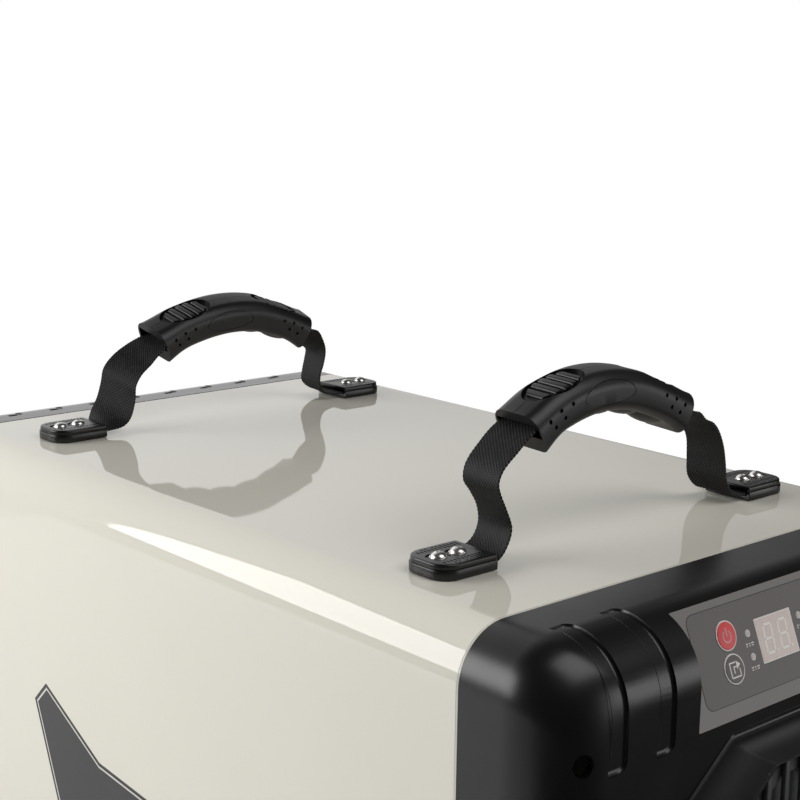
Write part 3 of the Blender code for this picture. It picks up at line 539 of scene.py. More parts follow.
def pipe(name, route, radius, sides=12):
    """A round pipe along a list of points."""
    line = bpy.data.curves.new(name, "CURVE")
    line.dimensions = "3D"
    line.bevel_depth, line.bevel_resolution = radius, sides // 2 - 2
    line.use_fill_caps = True
    spline = line.splines.new("POLY")
    spline.points.add(len(route) - 1)
    for point, at in zip(spline.points, route):
        point.co = (*at, 1)
    holder = bpy.data.objects.new(name, line)
    bpy.context.scene.collection.objects.link(holder)
    only(holder)
    bpy.ops.object.convert(target="MESH")
    piece = bpy.context.object
    choose(piece, "VERT", lambda vertex: True)
    bpy.ops.mesh.remove_doubles(threshold=0.00001)
    bpy.ops.mesh.normals_make_consistent(inside=False)
    done()
    return piece


def eased(points, steps):
    """Points along a smooth curve through the given ones, which may have any number of coordinates."""
    points = [Vector(point) for point in points]
    ends = [points[0]] + points + [points[-1]]
    route = []
    for a, b, c, d in zip(ends, ends[1:], ends[2:], ends[3:]):
        for k in range(steps):
            t = k / steps
            route.append(0.5 * (2 * b + (c - a) * t + (2 * a - 5 * b + 4 * c - d) * t ** 2
                                + (3 * b - a - 3 * c + d) * t ** 3))
    return route + [points[-1]]


# ---- Outlines and bent grids ----

def rounded_box(low, high, radius, steps=6):
    """The outline of a rectangle with round corners."""
    points = []
    for x, y, start in ((high[0] - radius, high[1] - radius, 0), (low[0] + radius, high[1] - radius, 90),
                        (low[0] + radius, low[1] + radius, 180), (high[0] - radius, low[1] + radius, 270)):
        for k in range(steps + 1):
            angle = math.radians(start + 90 * k / steps)
            points.append((x + radius * math.cos(angle), y + radius * math.sin(angle)))
    return points


def arc_band(centre, radius, width, start, end, steps=20):
    """The outline of a bar bent to an arc, between two angles in degrees."""
    points = []
    for reach, way in ((radius + width / 2, 1), (radius - width / 2, -1)):
        for k in range(steps + 1)[::way]:
            angle = math.radians(start + (end - start) * k / steps)
            points.append((centre[0] + reach * math.cos(angle), centre[1] + reach * math.sin(angle)))
    return points


def stroke(first, last, width):
    """The outline of a straight bar between two points."""
    along = (Vector(last) - Vector(first)).normalized()
    aside = Vector((-along.y, along.x)) * width / 2
    return [tuple(Vector(first) + aside), tuple(Vector(first) - aside),
            tuple(Vector(last) - aside), tuple(Vector(last) + aside)]


def drawn_in(outline, amount):
    """An outline of straight sides with every side moved inwards by amount."""
    corners = [Vector(point) for point in outline]
    turning = sum(a.x * b.y - b.x * a.y for a, b in zip(corners, corners[1:] + corners[:1]))
    inwards = math.copysign(1, turning)
    moved = []
    for k, corner in enumerate(corners):
        before = (corner - corners[k - 1]).normalized()
        after = (corners[(k + 1) % len(corners)] - corner).normalized()
        normal_before = Vector((-before.y, before.x)) * inwards
        normal_after = Vector((-after.y, after.x)) * inwards
        middle = (normal_before + normal_after).normalized()
        moved.append(tuple(corner + middle * amount / max(0.2, middle.dot(normal_after))))
    return moved


def shaped_grid(name, across, along, form):
    """A grid of cells bent to a form, which gives the place of each crossing from its two counts."""
    bpy.ops.object.select_all(action="DESELECT")
    bpy.ops.mesh.primitive_grid_add(x_subdivisions=across, y_subdivisions=along, size=1)
    piece = start_piece(name)
    for vertex in piece.data.vertices:
        column = round((vertex.co.x + 0.5) * across)
        row = round((vertex.co.y + 0.5) * along)
        vertex.co = form(column, row)
    piece.data.update()
    return piece


class Route:
    """A smooth line through points, read by the distance along it."""

    def __init__(self, points, steps=12):
        self.points = eased(points, steps)
        self.marks = [0.0]
        for first, second in zip(self.points, self.points[1:]):
            self.marks.append(self.marks[-1] + (second - first).length)
        self.length = self.marks[-1]

    def at(self, distance):
        distance = min(max(distance, 0.0), self.length)
        k = min(bisect.bisect_right(self.marks, distance), len(self.marks) - 1)
        span = self.marks[k] - self.marks[k - 1]
        return self.points[k - 1].lerp(self.points[k], (distance - self.marks[k - 1]) / span)

    def along(self, distance):
        return (self.at(distance + 0.0006) - self.at(distance - 0.0006)).normalized()


# ---- Sleeve and caps ----

def painted_sleeve():
    """One sheet wrapped over the top and both sides, with a narrow joggled lip at its front and rear."""
    piece = block("painted_sleeve", (-HALF, SLEEVE_FRONT, SLEEVE_LOW.z), (HALF, SLEEVE_REAR, TOP))
    choose(piece, "FACE", lambda face: abs(face.normal.y) > 0.9 or face.normal.z < -0.9)
    bpy.ops.mesh.delete(type="FACE")
    done()
    choose(piece, "EDGE", lambda edge: all(v.co.z > TOP - 0.001 for v in edge.verts)
           and abs(edge.verts[0].co.y - edge.verts[1].co.y) > 0.1)
    bpy.ops.mesh.bevel(offset=EDGE_RADIUS, segments=24, profile=0.5)
    done()
    lip, step = 0.0010, 0.0003
    for edge_y, inward in ((SLEEVE_FRONT, 1), (SLEEVE_REAR, -1)):
        for distance in (lip, lip + step):
            choose(piece, "FACE", lambda face: True)
            bpy.ops.mesh.bisect(plane_co=(0, edge_y + inward * distance, 0), plane_no=(0, 1, 0))
            done()
        choose(piece, "VERT", lambda vertex: abs(vertex.co.y - edge_y) < lip + step / 2)
        bpy.ops.transform.shrink_fatten(value=-0.0002)
        done()
    apply(piece, "SOLIDIFY", thickness=SHEET, offset=-1, use_even_offset=True)
    round_edges(piece, 0.0004, 2, 60)
    smooth(piece, 30)
    dress(piece, "case", "ivory_paint", ["case_sleeve"])


def cap_shell(name, edge_y, face_y):
    """A hollow cap: straight from the sleeve's edge, then drawn in step by step to a flat face."""
    outward = -1 if face_y < edge_y else 1
    shoulder = face_y - outward * CAP_ROUND
    piece = block(name, (-HALF, min(edge_y, shoulder), BASE), (HALF, max(edge_y, shoulder), TOP))
    for level, radius, segments in ((TOP, EDGE_RADIUS, 16), (BASE, LOW_RADIUS, 6)):
        choose(piece, "EDGE", lambda edge: all(abs(v.co.z - level) < 0.001 for v in edge.verts)
               and abs(edge.verts[0].co.y - edge.verts[1].co.y) > 0.01)
        bpy.ops.mesh.bevel(offset=radius, segments=segments, profile=0.5)
        done()
    steps = 20
    half_height, middle = (TOP - BASE) / 2, (TOP + BASE) / 2
    choose(piece, "FACE", lambda face: face.normal.y * outward > 0.9)
    drawn, y = 0.0, shoulder
    for k in range(1, steps + 1):
        angle = math.pi / 2 * k / steps
        next_drawn = CAP_ROUND * (1 - math.cos(angle))
        next_y = shoulder + outward * CAP_ROUND * math.sin(angle)
        bpy.ops.mesh.extrude_region_move(TRANSFORM_OT_translate={"value": (0, next_y - y, 0)})
        bpy.ops.transform.resize(value=((HALF - next_drawn) / (HALF - drawn), 1,
                                        (half_height - next_drawn) / (half_height - drawn)),
                                 center_override=(0, next_y, middle))
        drawn, y = next_drawn, next_y
    done()
    choose(piece, "FACE", lambda face: face.normal.y * outward < -0.9)
    bpy.ops.mesh.delete(type="FACE")
    done()
    apply(piece, "SOLIDIFY", thickness=WALL, offset=-1, use_even_offset=True)
    return piece


ELBOW = 0.0034


def over_the_round(x, edge_y, face_y, start, end_z, leg=0.0):
    """A line over the round upper edge of a cap and down its face, with a short leg aside at each end."""
    outward = -1 if face_y < edge_y else 1
    centre_y, centre_z = face_y - outward * CAP_ROUND, TOP - CAP_ROUND
    side = math.copysign(ELBOW, leg)
    top_y = edge_y + outward * start
    quarter = [math.pi / 2 * k / 5 for k in range(6)]
    route = []
    if leg:
        route = [(x + leg, top_y, TOP)]
        route += [(x + side * (1 - math.sin(turn)), top_y + outward * ELBOW * (1 - math.cos(turn)), TOP)
                  for turn in quarter]
    first = math.asin(max(0.0, outward * (top_y - centre_y) + (ELBOW if leg else 0.0)) / CAP_ROUND)
    for k in range(1 if leg else 0, 17):
        angle = first + (math.pi / 2 - first) * k / 16
        route.append((x, centre_y + outward * CAP_ROUND * math.sin(angle),
                      centre_z + CAP_ROUND * math.cos(angle)))
    if leg:
        route += [(x + side * (1 - math.cos(turn)), face_y, end_z + ELBOW * (1 - math.sin(turn)))
                  for turn in quarter]
        return route + [(x + leg, face_y, end_z)]
    return route + [(x, face_y, end_z)]


CORNER_SLOPE = 0.78


def soft_octagon(top_half, top, side_half, low, radius=0.006, steps=4):
    """An upright octagon in the XZ plane with rounded corners, as points."""
    rise = (side_half - top_half) * CORNER_SLOPE
    corners = [(top_half, top), (side_half, top - rise), (side_half, low + rise), (top_half, low),
               (-top_half, low), (-side_half, low + rise), (-side_half, top - rise), (-top_half, top)]
    points = []
    for k, corner in enumerate(corners):
        here = Vector(corner)
        before = (Vector(corners[k - 1]) - here).normalized()
        after = (Vector(corners[(k + 1) % 8]) - here).normalized()
        half_angle = before.angle(after) / 2
        reach = radius / math.tan(half_angle)
        first, last = here + before * reach, here + after * reach
        for j in range(steps + 1):
            t = j / steps
            points.append(tuple((1 - t) ** 2 * first + 2 * t * (1 - t) * here + t ** 2 * last))
    return points


# Each octagon: half its upper side, its top, half its width, its foot
OPENING = (0.060, TOP - 0.0705, 0.150, TOP - 0.3545)
SLATTED = (0.017, TOP - 0.0960, 0.125, TOP - 0.3290)
OUTLET = (0.080, TOP - 0.070, 0.145, TOP - 0.320)


def wider(octagon, amount):
    top_half, top, side_half, low = octagon
    return (top_half + 0.35 * amount, top + amount, side_half + amount, low - amount)


def front_moulding():
    """The front cap: J-shaped grooves, screw holes, the panel's flat cut and the intake's raised lip."""
    piece = cap_shell("front_moulding", SLEEVE_FRONT - GAP, FRONT_Y)
    pocket_floor = place(block("pocket_floor", (-PANEL_HALF - 0.003, -PANEL_RISE + 0.0008, -0.0058),
                               (PANEL_HALF + 0.003, PANEL_RISE - 0.0008, 0)), PANEL)
    lip = slab("lip", soft_octagon(*wider(OPENING, 0.0045)), FRONT_Y - 0.0016, FRONT_Y + 0.003)
    choose(lip, "EDGE", lambda edge: all(v.co.y < FRONT_Y - 0.001 for v in edge.verts))
    bpy.ops.mesh.bevel(offset=0.0015, segments=4, profile=0.5)
    done()
    cut(piece, pocket_floor, lip, operation="UNION")
    pocket = place(block("pocket", (-PANEL_HALF - GAP, -PANEL_RISE - GAP, -PLATE_THICK - GAP),
                         (PANEL_HALF + GAP, PANEL_RISE + GAP, 0.03)), PANEL)
    hole = slab("hole", soft_octagon(*wider(OPENING, 0.0006)), FRONT_Y - 0.01, FRONT_Y + 0.02)
    tools = [pocket, hole]
    for x in (-0.1680, 0.1680):
        for z in (TOP - 0.0535, BASE + 0.045):
            tools.append(oval_rod("screw_hole", (x, z), 0.0050, 0.0058,
                                  FRONT_Y - 0.03, FRONT_Y + 0.03, "Y", 40))
    for side in (-1, 1):
        for x in (0.1080, 0.1430):
            route = over_the_round(side * x, SLEEVE_FRONT, FRONT_Y, 0.026, TOP - 0.0605, side * 0.0115)
            tools.append(pipe("groove", route, GROOVE))
    cut(piece, *tools)
    smooth(piece, 30)
    dress(piece, "case", "satin_black", ["front_cap"])
    lines = [pipe("witness_line", over_the_round(x, SLEEVE_FRONT, FRONT_Y, 0.031, TOP - 0.058), 0.00016)
             for x in (-0.1530, -0.1180, 0.1180, 0.1530)]
    lines = join(lines[0], *lines[1:])
    lines.name = "front_witness_lines"
    dress(lines, "case", "satin_black")


def rear_moulding():
    """The rear cap: grooves over its upper edge, and openings for the outlet, inlet and hose fitting."""
    piece = cap_shell("rear_moulding", SLEEVE_REAR + GAP, REAR_Y)
    tools = [slab("hole", soft_octagon(*wider(OUTLET, 0.0006)), REAR_Y - 0.02, REAR_Y + 0.01)]
    for k in range(8):
        x = (k - 3.5) * 0.0344
        route = over_the_round(x, SLEEVE_REAR, REAR_Y, 0.016, TOP - 0.050, -0.0105)
        tools.append(pipe("groove", route, GROOVE))
    tools.append(rod("fitting_hole", (-0.130, REAR_Y, 0.060), (0, 1, 0), 0.0125, 0.04))
    tools.append(rod("inlet_hole", (0.130, REAR_Y, 0.060), (0, 1, 0), 0.0105, 0.04))
    cut(piece, *tools)
    smooth(piece, 30)
    dress(piece, "case", "rear_black", ["rear_cap"])


# ---- Intake grille ----

def octagon_between(share):
    """The rounded octagon part of the way from the opening's rim (0) to the slatted field's edge (1)."""
    sizes = [a + (b - a) * share for a, b in zip(OPENING, SLATTED)]
    return soft_octagon(*sizes, radius=0.007 - 0.004 * share)


def upright(share, depth):
    return [Vector((x, FRONT_Y + depth, z)) for x, z in octagon_between(share)]


def slat_reach(x):
    """How far above the middle the slatted field reaches at x."""
    top_half, top = SLATTED[:2]
    return top - max(0.0, abs(x) - top_half) * CORNER_SLOPE - MID_Z


SLAT_PITCH, SLAT_WIDTH = 0.0156, 0.0040


def intake_moulding():
    """The intake grille: a channel from the cap's lip down and up again to a rim, and upright slats."""
    steps = ((0.0, 0.0030), (0.005, 0.0046), (0.05, 0.0072), (0.12, 0.0090), (0.22, 0.0102), (0.34, 0.0107),
             (0.48, 0.0102), (0.62, 0.0088), (0.76, 0.0064), (0.87, 0.0036), (0.93, 0.0018), (0.955, 0.0010),
             (0.975, 0.0007), (0.995, 0.0009), (1.01, 0.0016), (1.015, 0.0040))
    rings = [upright(share, depth) for share, depth in steps]
    count = len(rings[0])
    piece = shaped_grid("intake_moulding", count, len(rings) - 1,
                        lambda column, row: rings[row][column % count])
    choose(piece, "VERT", lambda vertex: True)
    bpy.ops.mesh.remove_doubles(threshold=0.00001)
    done()
    cell = piece.data.polygons[0]
    faces_back, faces_aside = cell.normal.y > 0, cell.normal.dot(Vector((0, 0, MID_Z)) - cell.center) < 0
    if faces_back and faces_aside:
        choose(piece, "FACE", lambda face: True)
        bpy.ops.mesh.flip_normals()
        done()
    apply(piece, "SOLIDIFY", thickness=0.0016, offset=-1, use_even_offset=False)
    smooth(piece, 32)
    slats = []
    for k in range(-7, 8):
        x = (k + 0.5) * SLAT_PITCH
        if abs(x) > SLATTED[2] - 0.002:
            continue
        reach = slat_reach(abs(x) - SLAT_WIDTH / 2) + 0.0012
        slat = block("slat", (x - SLAT_WIDTH / 2, FRONT_Y + 0.0012, MID_Z - reach),
                     (x + SLAT_WIDTH / 2, FRONT_Y + 0.0042, MID_Z + reach))
        round_edges(slat, 0.0006, 2)
        smooth(slat, 35)
        slats.append(slat)
    dress(piece, "intake", "recess_black", ["intake_grille"])
    bars = join(slats[0], *slats[1:])
    bars.name = "intake_slats"
    dress(bars, "intake", "slat_grey")


# ---- Control panel ----

FILM = 0.00006
FIELD_LOW, FIELD_HIGH = (-0.0774, -0.0227), (0.0774, 0.0264)
KEYS = {"power_button": (-0.0501, 0.0107), "pump_button": (-0.0501, -0.0065),
        "humidity_up_button": (0.0501, 0.0107), "humidity_down_button": (0.0501, -0.0065)}
LAMPS = {"power_lamp": (-0.0329, 0.0082), "pump_lamp": (-0.0329, -0.0040), "defrost_lamp": (0.0113, 0.0084)}
KEY_RADIUS, KEY_PROUD = 0.0079, 0.0005
WINDOW_LOW, WINDOW_HIGH = (-0.0261, -0.0096), (0.0049, 0.0140)


def disc(centre, radius, steps=36):
    return [(centre[0] + radius * math.cos(2 * math.pi * k / steps),
             centre[1] + radius * math.sin(2 * math.pi * k / steps)) for k in range(steps)]


def shifted(outline, centre, size=1.0):
    return [(centre[0] + size * x, centre[1] + size * y) for x, y in outline]


def printed_group(name, outlines, level, body, material, thick=FILM):
    """Several printed shapes as one piece."""
    shapes = [plate(name, outline, level, level + thick) for outline in outlines]
    piece = join(shapes[0], *shapes[1:]) if len(shapes) > 1 else shapes[0]
    piece.name = name
    return dress(place(piece, PANEL), body, material)


def label_plate():
    """The film-covered plate with a lighter border, holes for the keys, the lamps and the display window."""
    piece = plate("label_plate", rounded_box((-PANEL_HALF, -PANEL_RISE), (PANEL_HALF, PANEL_RISE), 0.0006, 2),
                  -PLATE_THICK, 0)
    outline = plate("field_outline", rounded_box(FIELD_LOW, FIELD_HIGH, 0.0052), -0.0004, FILM)
    inner_low = (FIELD_LOW[0] + 0.0004, FIELD_LOW[1] + 0.0004)
    inner_high = (FIELD_HIGH[0] - 0.0004, FIELD_HIGH[1] - 0.0004)
    field = plate("label_field", rounded_box(inner_low, inner_high, 0.0048), -0.0003, 2 * FILM)
    for holed in (piece, outline, field):
        holes = [rod("hole", (x, y, 0), (0, 0, 1), KEY_RADIUS + 0.0002, 0.02, 48) for x, y in KEYS.values()]
        holes += [rod("hole", (x, y, 0), (0, 0, 1), 0.0021, 0.02, 24) for x, y in LAMPS.values()]
        holes.append(block("hole", (WINDOW_LOW[0] - 0.0002, WINDOW_LOW[1] - 0.0002, -0.01),
                           (WINDOW_HIGH[0] + 0.0002, WINDOW_HIGH[1] + 0.0002, 0.01)))
        cut(holed, *holes)
    dress(place(piece, PANEL), "case", "label_border", ["control_plate"])
    dress(place(outline, PANEL), "case", "print_black")
    dress(place(field, PANEL), "case", "label_grey")


def key(name, face_material):
    """A round key under the film: a pale ring and a face with a softly turned edge."""
    x, y = KEYS[name]
    ring = rod(name + "_ring", (x, y, KEY_PROUD / 2 - 0.0005), (0, 0, 1), KEY_RADIUS, KEY_PROUD + 0.0010, 64)
    round_edges(ring, 0.0002, 2)
    smooth(ring)
    dress(place(ring, PANEL), name, "print_white", [name])
    top = KEY_PROUD + 0.0003
    face = rod(name + "_face", (x, y, top / 2), (0, 0, 1), KEY_RADIUS - 0.0007, top, 64)
    choose(face, "FACE", lambda item: item.normal.z > 0.9)
    bpy.ops.mesh.bevel(offset=0.0004, segments=3, profile=0.5)
    done()
    smooth(face)
    dress(place(face, PANEL), name, face_material)
    return x, y, top


def power_key():
    """Its mark is a broken ring with an upright bar."""
    x, y, top = key("power_button", "key_red")
    mark = [arc_band((x, y - 0.0004), 0.0031, 0.0008, 122, 418, 28),
            stroke((x, y - 0.0004), (x, y + 0.0040), 0.0008)]
    printed_group("power_mark", mark, top, "power_button", "mark_rose")


def pump_key():
    """Its mark is an open tank with an arrow that leads out of it."""
    x, y, top = key("pump_button", "label_grey")
    walls = [((-0.0036, 0.0034), (-0.0036, -0.0044)), ((-0.0039, -0.0041), (0.0039, -0.0041)),
             ((0.0036, -0.0044), (0.0036, -0.0002)), ((-0.0039, 0.0034), (0.0010, 0.0034))]
    outflow = [((-0.0008, -0.0022), (-0.0008, 0.0014)), ((-0.0011, 0.0011), (0.0020, 0.0011))]
    tank = [stroke(first, last, 0.0007) for first, last in walls + outflow]
    tank.append([(0.0016, -0.0004), (0.0046, 0.0018), (0.0016, 0.0040)])
    printed_group("pump_mark", [shifted(shape, (x, y)) for shape in tank], top, "pump_button", "print_white")


def humidity_keys():
    for name, way in (("humidity_up_button", 1), ("humidity_down_button", -1)):
        x, y, top = key(name, "label_grey")
        arrow = [(x - 0.0034, y - way * 0.0018), (x + 0.0034, y - way * 0.0018), (x, y + way * 0.0030)]
        printed_group(name.replace("_button", "_mark"), [arrow[::way]], top, name, "print_white")


def lamps():
    """Small round lenses with a pale ring, and a row of short bars under each in place of its word."""
    for name, (x, y) in LAMPS.items():
        lens = rod(name + "_lens", (x, y, -0.0004), (0, 0, 1), 0.0020, 0.0010, 32)
        choose(lens, "FACE", lambda item: item.normal.z > 0.9)
        bpy.ops.mesh.inset(thickness=0.0006)
        bpy.ops.transform.translate(value=(0, 0, -0.0002))
        done()
        round_edges(lens, 0.0001, 2)
        dress(place(lens, PANEL), "case", "lamp_ring", [name])
        core = rod(name + "_core", (x, y, -0.0004), (0, 0, 1), 0.0012, 0.0009, 24)
        dress(place(core, PANEL), "case", "lamp_lens")
        bars, start = [], x - 0.0036
        for wide in (0.0016, 0.0010, 0.0020):
            bars.append(stroke((start, y - 0.0052), (start + wide, y - 0.0052), 0.0006))
            bars.append(stroke((start, y - 0.0064), (start + wide * 0.8, y - 0.0064), 0.0005))
            start += wide + 0.0009
        printed_group(name + "_caption", bars, 2 * FILM, "case", "print_white")


def display():
    """The display window: a pale frame, a warm field and two seven-bar figures with their points."""
    frame_box = plate("display_frame", rounded_box(WINDOW_LOW, WINDOW_HIGH, 0.0002, 1),
                      -PLATE_THICK, 2 * FILM)
    dress(place(frame_box, PANEL), "case", "print_white", ["display_window"])
    border = 0.0008
    low = (WINDOW_LOW[0] + border, WINDOW_LOW[1] + border)
    high = (WINDOW_HIGH[0] - border, WINDOW_HIGH[1] - border)
    field = plate("display_field", rounded_box(low, high, 0.0002, 1), 0, 3 * FILM)
    dress(place(field, PANEL), "case", "display_field")
    wide, tall, lean, bar = 0.0066, 0.0148, 0.08, 0.0013
    bars = []
    for centre in ((WINDOW_LOW[0] + 0.0089, 0.0022), (WINDOW_LOW[0] + 0.0213, 0.0022)):
        half_wide, half_tall, notch = wide / 2, tall / 2, 0.0006
        ends = [((-half_wide + notch, y), (half_wide - notch, y)) for y in (-half_tall, 0, half_tall)]
        ends += [((x, y + way * notch), (x, y + way * (half_tall - notch))) for x in (-half_wide, half_wide)
                 for y, way in ((0, 1), (0, -1))]
        for first, last in ends:
            leaned = [(x + lean * y, y) for x, y in stroke(first, last, bar)]
            bars.append(shifted(leaned, centre))
        bars.append(disc((centre[0] + half_wide + 0.0018, centre[1] - half_tall), 0.0007, 16))
    printed_group("display_figures", bars, 3 * FILM, "case", "segment")


# ---- Side decals ----

# Corners of the stripe: how far behind the sleeve's front edge, and how far below the top
DECAL = ((0.400, -0.1495), (0.416, -0.165), (0.389, -0.230), (0.352, -0.318), (0.070, -0.352),
         (0.086, -0.300), (0.150, -0.236), (0.259, -0.190), (0.333, -0.1835))


def side_decals():
    """A dark angular stripe with a thin pale line inside its edge, on both sides of the sleeve."""
    outline = [(SLEEVE_FRONT + y, TOP + z) for y, z in DECAL]
    for side_name, side in (("left", -1), ("right", 1)):
        turn = Matrix(((0, 0, side, 0), (1, 0, 0, 0), (0, 1, 0, 0), (0, 0, 0, 1)))
        layers = (("border", 0.0, "decal_grey"), ("line", 0.0024, "decal_light"),
                  ("stripe", 0.0037, "decal_grey"))
        for level, (part, inset, material) in enumerate(layers):
            shape = drawn_in(outline, inset) if inset else outline
            piece = plate(f"{side_name}_decal_{part}", shape, HALF - 0.0002, HALF + 0.00004 * (level + 1))
            place(piece, turn)
            faces_out(piece)
            dress(piece, "case", material)


# ---- Handles ----

def lengthened(bar, step, cells):
    """Draws the +X end of a one-cell bar out, cell by cell, so that it can follow an arch."""
    choose(bar, "FACE", lambda face: face.normal.x > 0.9)
    for _ in range(cells - 1):
        bpy.ops.mesh.extrude_region_move(TRANSFORM_OT_translate={"value": (step, 0, 0)})
    done()
    return bar


def rounded_bar(name, low_x, high_x, inset=0.0, cells=1):
    """A bar along X with the grip's section drawn in by inset, rounder at its upper edges."""
    half_wide, half_high = GRIP_WIDTH / 2 - inset, GRIP_THICK / 2 - inset
    step = (high_x - low_x) / cells
    bar = block(name, (low_x, -half_wide, -half_high), (low_x + step, half_wide, half_high))
    for way, radius, segments in ((1, 0.0095, 7), (-1, 0.0055, 5)):
        choose(bar, "EDGE", lambda edge: all(v.co.z * way > half_high * 0.9 for v in edge.verts)
               and abs(edge.verts[0].co.x - edge.verts[1].co.x) > step / 2)
        bpy.ops.mesh.bevel(offset=max(radius - inset, 0.001), segments=segments, profile=0.5)
        done()
    return lengthened(bar, step, cells)


def long_block(name, low, high, cells):
    """A block along X in cells."""
    step = (high[0] - low[0]) / cells
    bar = block(name, low, (low[0] + step, *high[1:]))
    return lengthened(bar, step, cells)


def oval_rod(name, centre, reach_x, reach_other, low, high, axis="Z", sides=64):
    """A rod of oval section, upright or, for axis Y, lying from front to rear."""
    bpy.ops.object.select_all(action="DESELECT")
    bpy.ops.mesh.primitive_cylinder_add(vertices=sides, radius=1, depth=high - low,
                                        location=(0, 0, (low + high) / 2), scale=(reach_x, reach_other, 1))
    piece = start_piece(name)
    if axis == "Y":
        place(piece, Matrix.Rotation(math.radians(-90), 4, "X"))
    return place(piece, Matrix.Translation((centre[0], 0 if axis == "Y" else centre[1],
                                            centre[1] if axis == "Y" else 0)))


REST_DEPTH = 0.0026


def straight_grip(length, thumb_rests, dimples, badge_x):
    """The grip before it is arched: ribbed thumb rests, dimples, a blank oval, finger bumps and a slot."""
    grip = rounded_bar("grip", 0, length, cells=64)
    for k in range(4):
        bpy.ops.object.select_all(action="DESELECT")
        bpy.ops.mesh.primitive_uv_sphere_add(segments=32, ring_count=16, radius=1,
                                             location=(length * (0.26 + 0.19 * k), 0, -0.0080),
                                             scale=(0.0165, 0.0125, 0.0068))
        cut(grip, start_piece("finger_bump"), operation="UNION")
    tools = []
    for x in thumb_rests:
        rest = oval_rod("thumb_rest", (x, 0), 0.0195, 0.0130, 0, 0.02)
        cut(rest, rounded_bar("core", x - 0.03, x + 0.03, REST_DEPTH, 24))
        tools.append(rest)
    ring = oval_rod("badge_line", (badge_x, 0.0006), 0.0212, 0.0067, -0.03, -0.008, "Y")
    cut(ring, oval_rod("badge_inner", (badge_x, 0.0006), 0.0208, 0.0063, -0.04, 0.0, "Y"),
        rounded_bar("core", badge_x - 0.03, badge_x + 0.03, 0.0004, 24))
    tools.append(ring)
    for x, z in dimples:
        tools.append(rod("dimple", (x, -GRIP_WIDTH / 2, z), (0, 1, 0), 0.00125, 0.0026, 16))
    tools.append(long_block("parting_line", (-0.01, -0.00018, GRIP_THICK / 2 - 0.0003),
                            (length + 0.01, 0.00018, 0.02), 70))
    tools.append(long_block("webbing_way", (-0.01, -0.0152, -0.0022), (length + 0.01, 0.0152, 0.0056), 70))
    cut(grip, *tools)
    ribs = []
    for x in thumb_rests:
        for k in range(-2, 3):
            rib = rounded_bar("rib", x + k * 0.0061 - 0.0021, x + k * 0.0061 + 0.0021, 0.0006)
            round_edges(rib, 0.0011, 3, 60)
            cut(rib, oval_rod("rest_inside", (x, 0), 0.0170, 0.0104, 0.004, 0.02), operation="INTERSECT")
            ribs.append(rib)
    cut(grip, *ribs, operation="UNION")
    return grip


def arch(piece, centre, y, thickness, lean):
    """Lays a straight piece along an arched line: its X runs along the line, its Z stands off it."""
    route = Route([(x, 0, TOP + up) for x, up in centre])
    for vertex in piece.data.vertices:
        distance, across, off = vertex.co
        share = distance / route.length
        along = route.along(distance)
        up = Vector((-along.z, 0, along.x))
        scale = thickness(share)
        turned_off = (off * math.cos(lean) + across * math.sin(lean)) * scale
        turned_across = across * math.cos(lean) - off * math.sin(lean)
        vertex.co = route.at(distance) + up * turned_off + Vector((0, y + turned_across, 0))
    piece.data.update()
    return route


def flared(share):
    """The grip's thickness along its length: it swells a little at both ends and in the palm."""
    end = max(0.0, 1 - min(share, 1 - share) / 0.13)
    return 1.0 + 0.13 * end ** 2 + 0.04 * math.sin(math.pi * share)


def grip(end, y, centre, lean, badge_x):
    length = Route([(x, 0, up) for x, up in centre]).length
    thumb_rests = (0.0305, length - 0.0305)
    dimples = [(x, z) for start, way in ((0.0085, 1), (length - 0.0085, -1))
               for x, z in ((start, 0.0030), (start + way * 0.0092, 0.0036), (start + way * 0.0184, 0.0030),
                            (start + way * 0.0020, -0.0022), (start + way * 0.0108, -0.0018))]
    piece = straight_grip(length, thumb_rests, dimples, badge_x * length)
    piece.name = f"{end}_moulded_grip"
    arch(piece, centre, y, flared, lean)
    smooth(piece, 38)
    dress(piece, f"{end}_handle", "grip_black", [f"{end}_grip"])


YARN = 0.0012


def webbing(end, y, near, far):
    """One length of webbing, woven in relief: its near and far edges each follow their own line."""
    near_route = Route([(x, 0, TOP + up) for x, up in near])
    far_route = Route([(x, 0, TOP + up) for x, up in far])
    across = 4 * 13
    rows = 2 * round(near_route.length / YARN)
    cells = []
    for row in range(rows + 1):
        share = row / rows
        near_at, far_at = share * near_route.length, share * far_route.length
        first, last = near_route.at(near_at), far_route.at(far_at)
        along = (near_route.along(near_at) + far_route.along(far_at)).normalized()
        width = Vector((0, STRAP_WIDTH, 0)) + last - first
        cells.append((first + Vector((0, y - STRAP_WIDTH / 2, 0)), width, along.cross(width).normalized()))

    def woven(column, row):
        start, width, out = cells[row]
        relief = 0.00026 * math.cos(math.pi * column / 2) * math.cos(math.pi * row / 2)
        return start + width * (column / across) + out * relief

    piece = shaped_grid(f"{end}_webbing", across, rows, woven)
    for corner in piece.data.uv_layers.active.data:
        corner.uv = (corner.uv[0] * across, corner.uv[1] * rows)
    apply(piece, "SOLIDIFY", thickness=STRAP_THICK - 0.0003, offset=0)
    smooth(piece, 80)
    dress(piece, None, "webbing", [f"{end}_strap"])
    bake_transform(piece)


SEAM = 0.0058
LEFT_BRACKET_OUT = 0.0022
SLOT_PITCH, SLOT_WIDTH = 0.0026, 0.0011


def bracket_mouth():
    """The flat way into a bracket that holds the end of the webbing."""
    return block("mouth", (BRACKET_INNER - 0.01, -STRAP_WIDTH / 2 - 0.0006, STRAP_Z - 0.0015),
                 (BRACKET_INNER + 0.0085, STRAP_WIDTH / 2 + 0.0006, STRAP_Z + 0.0015))


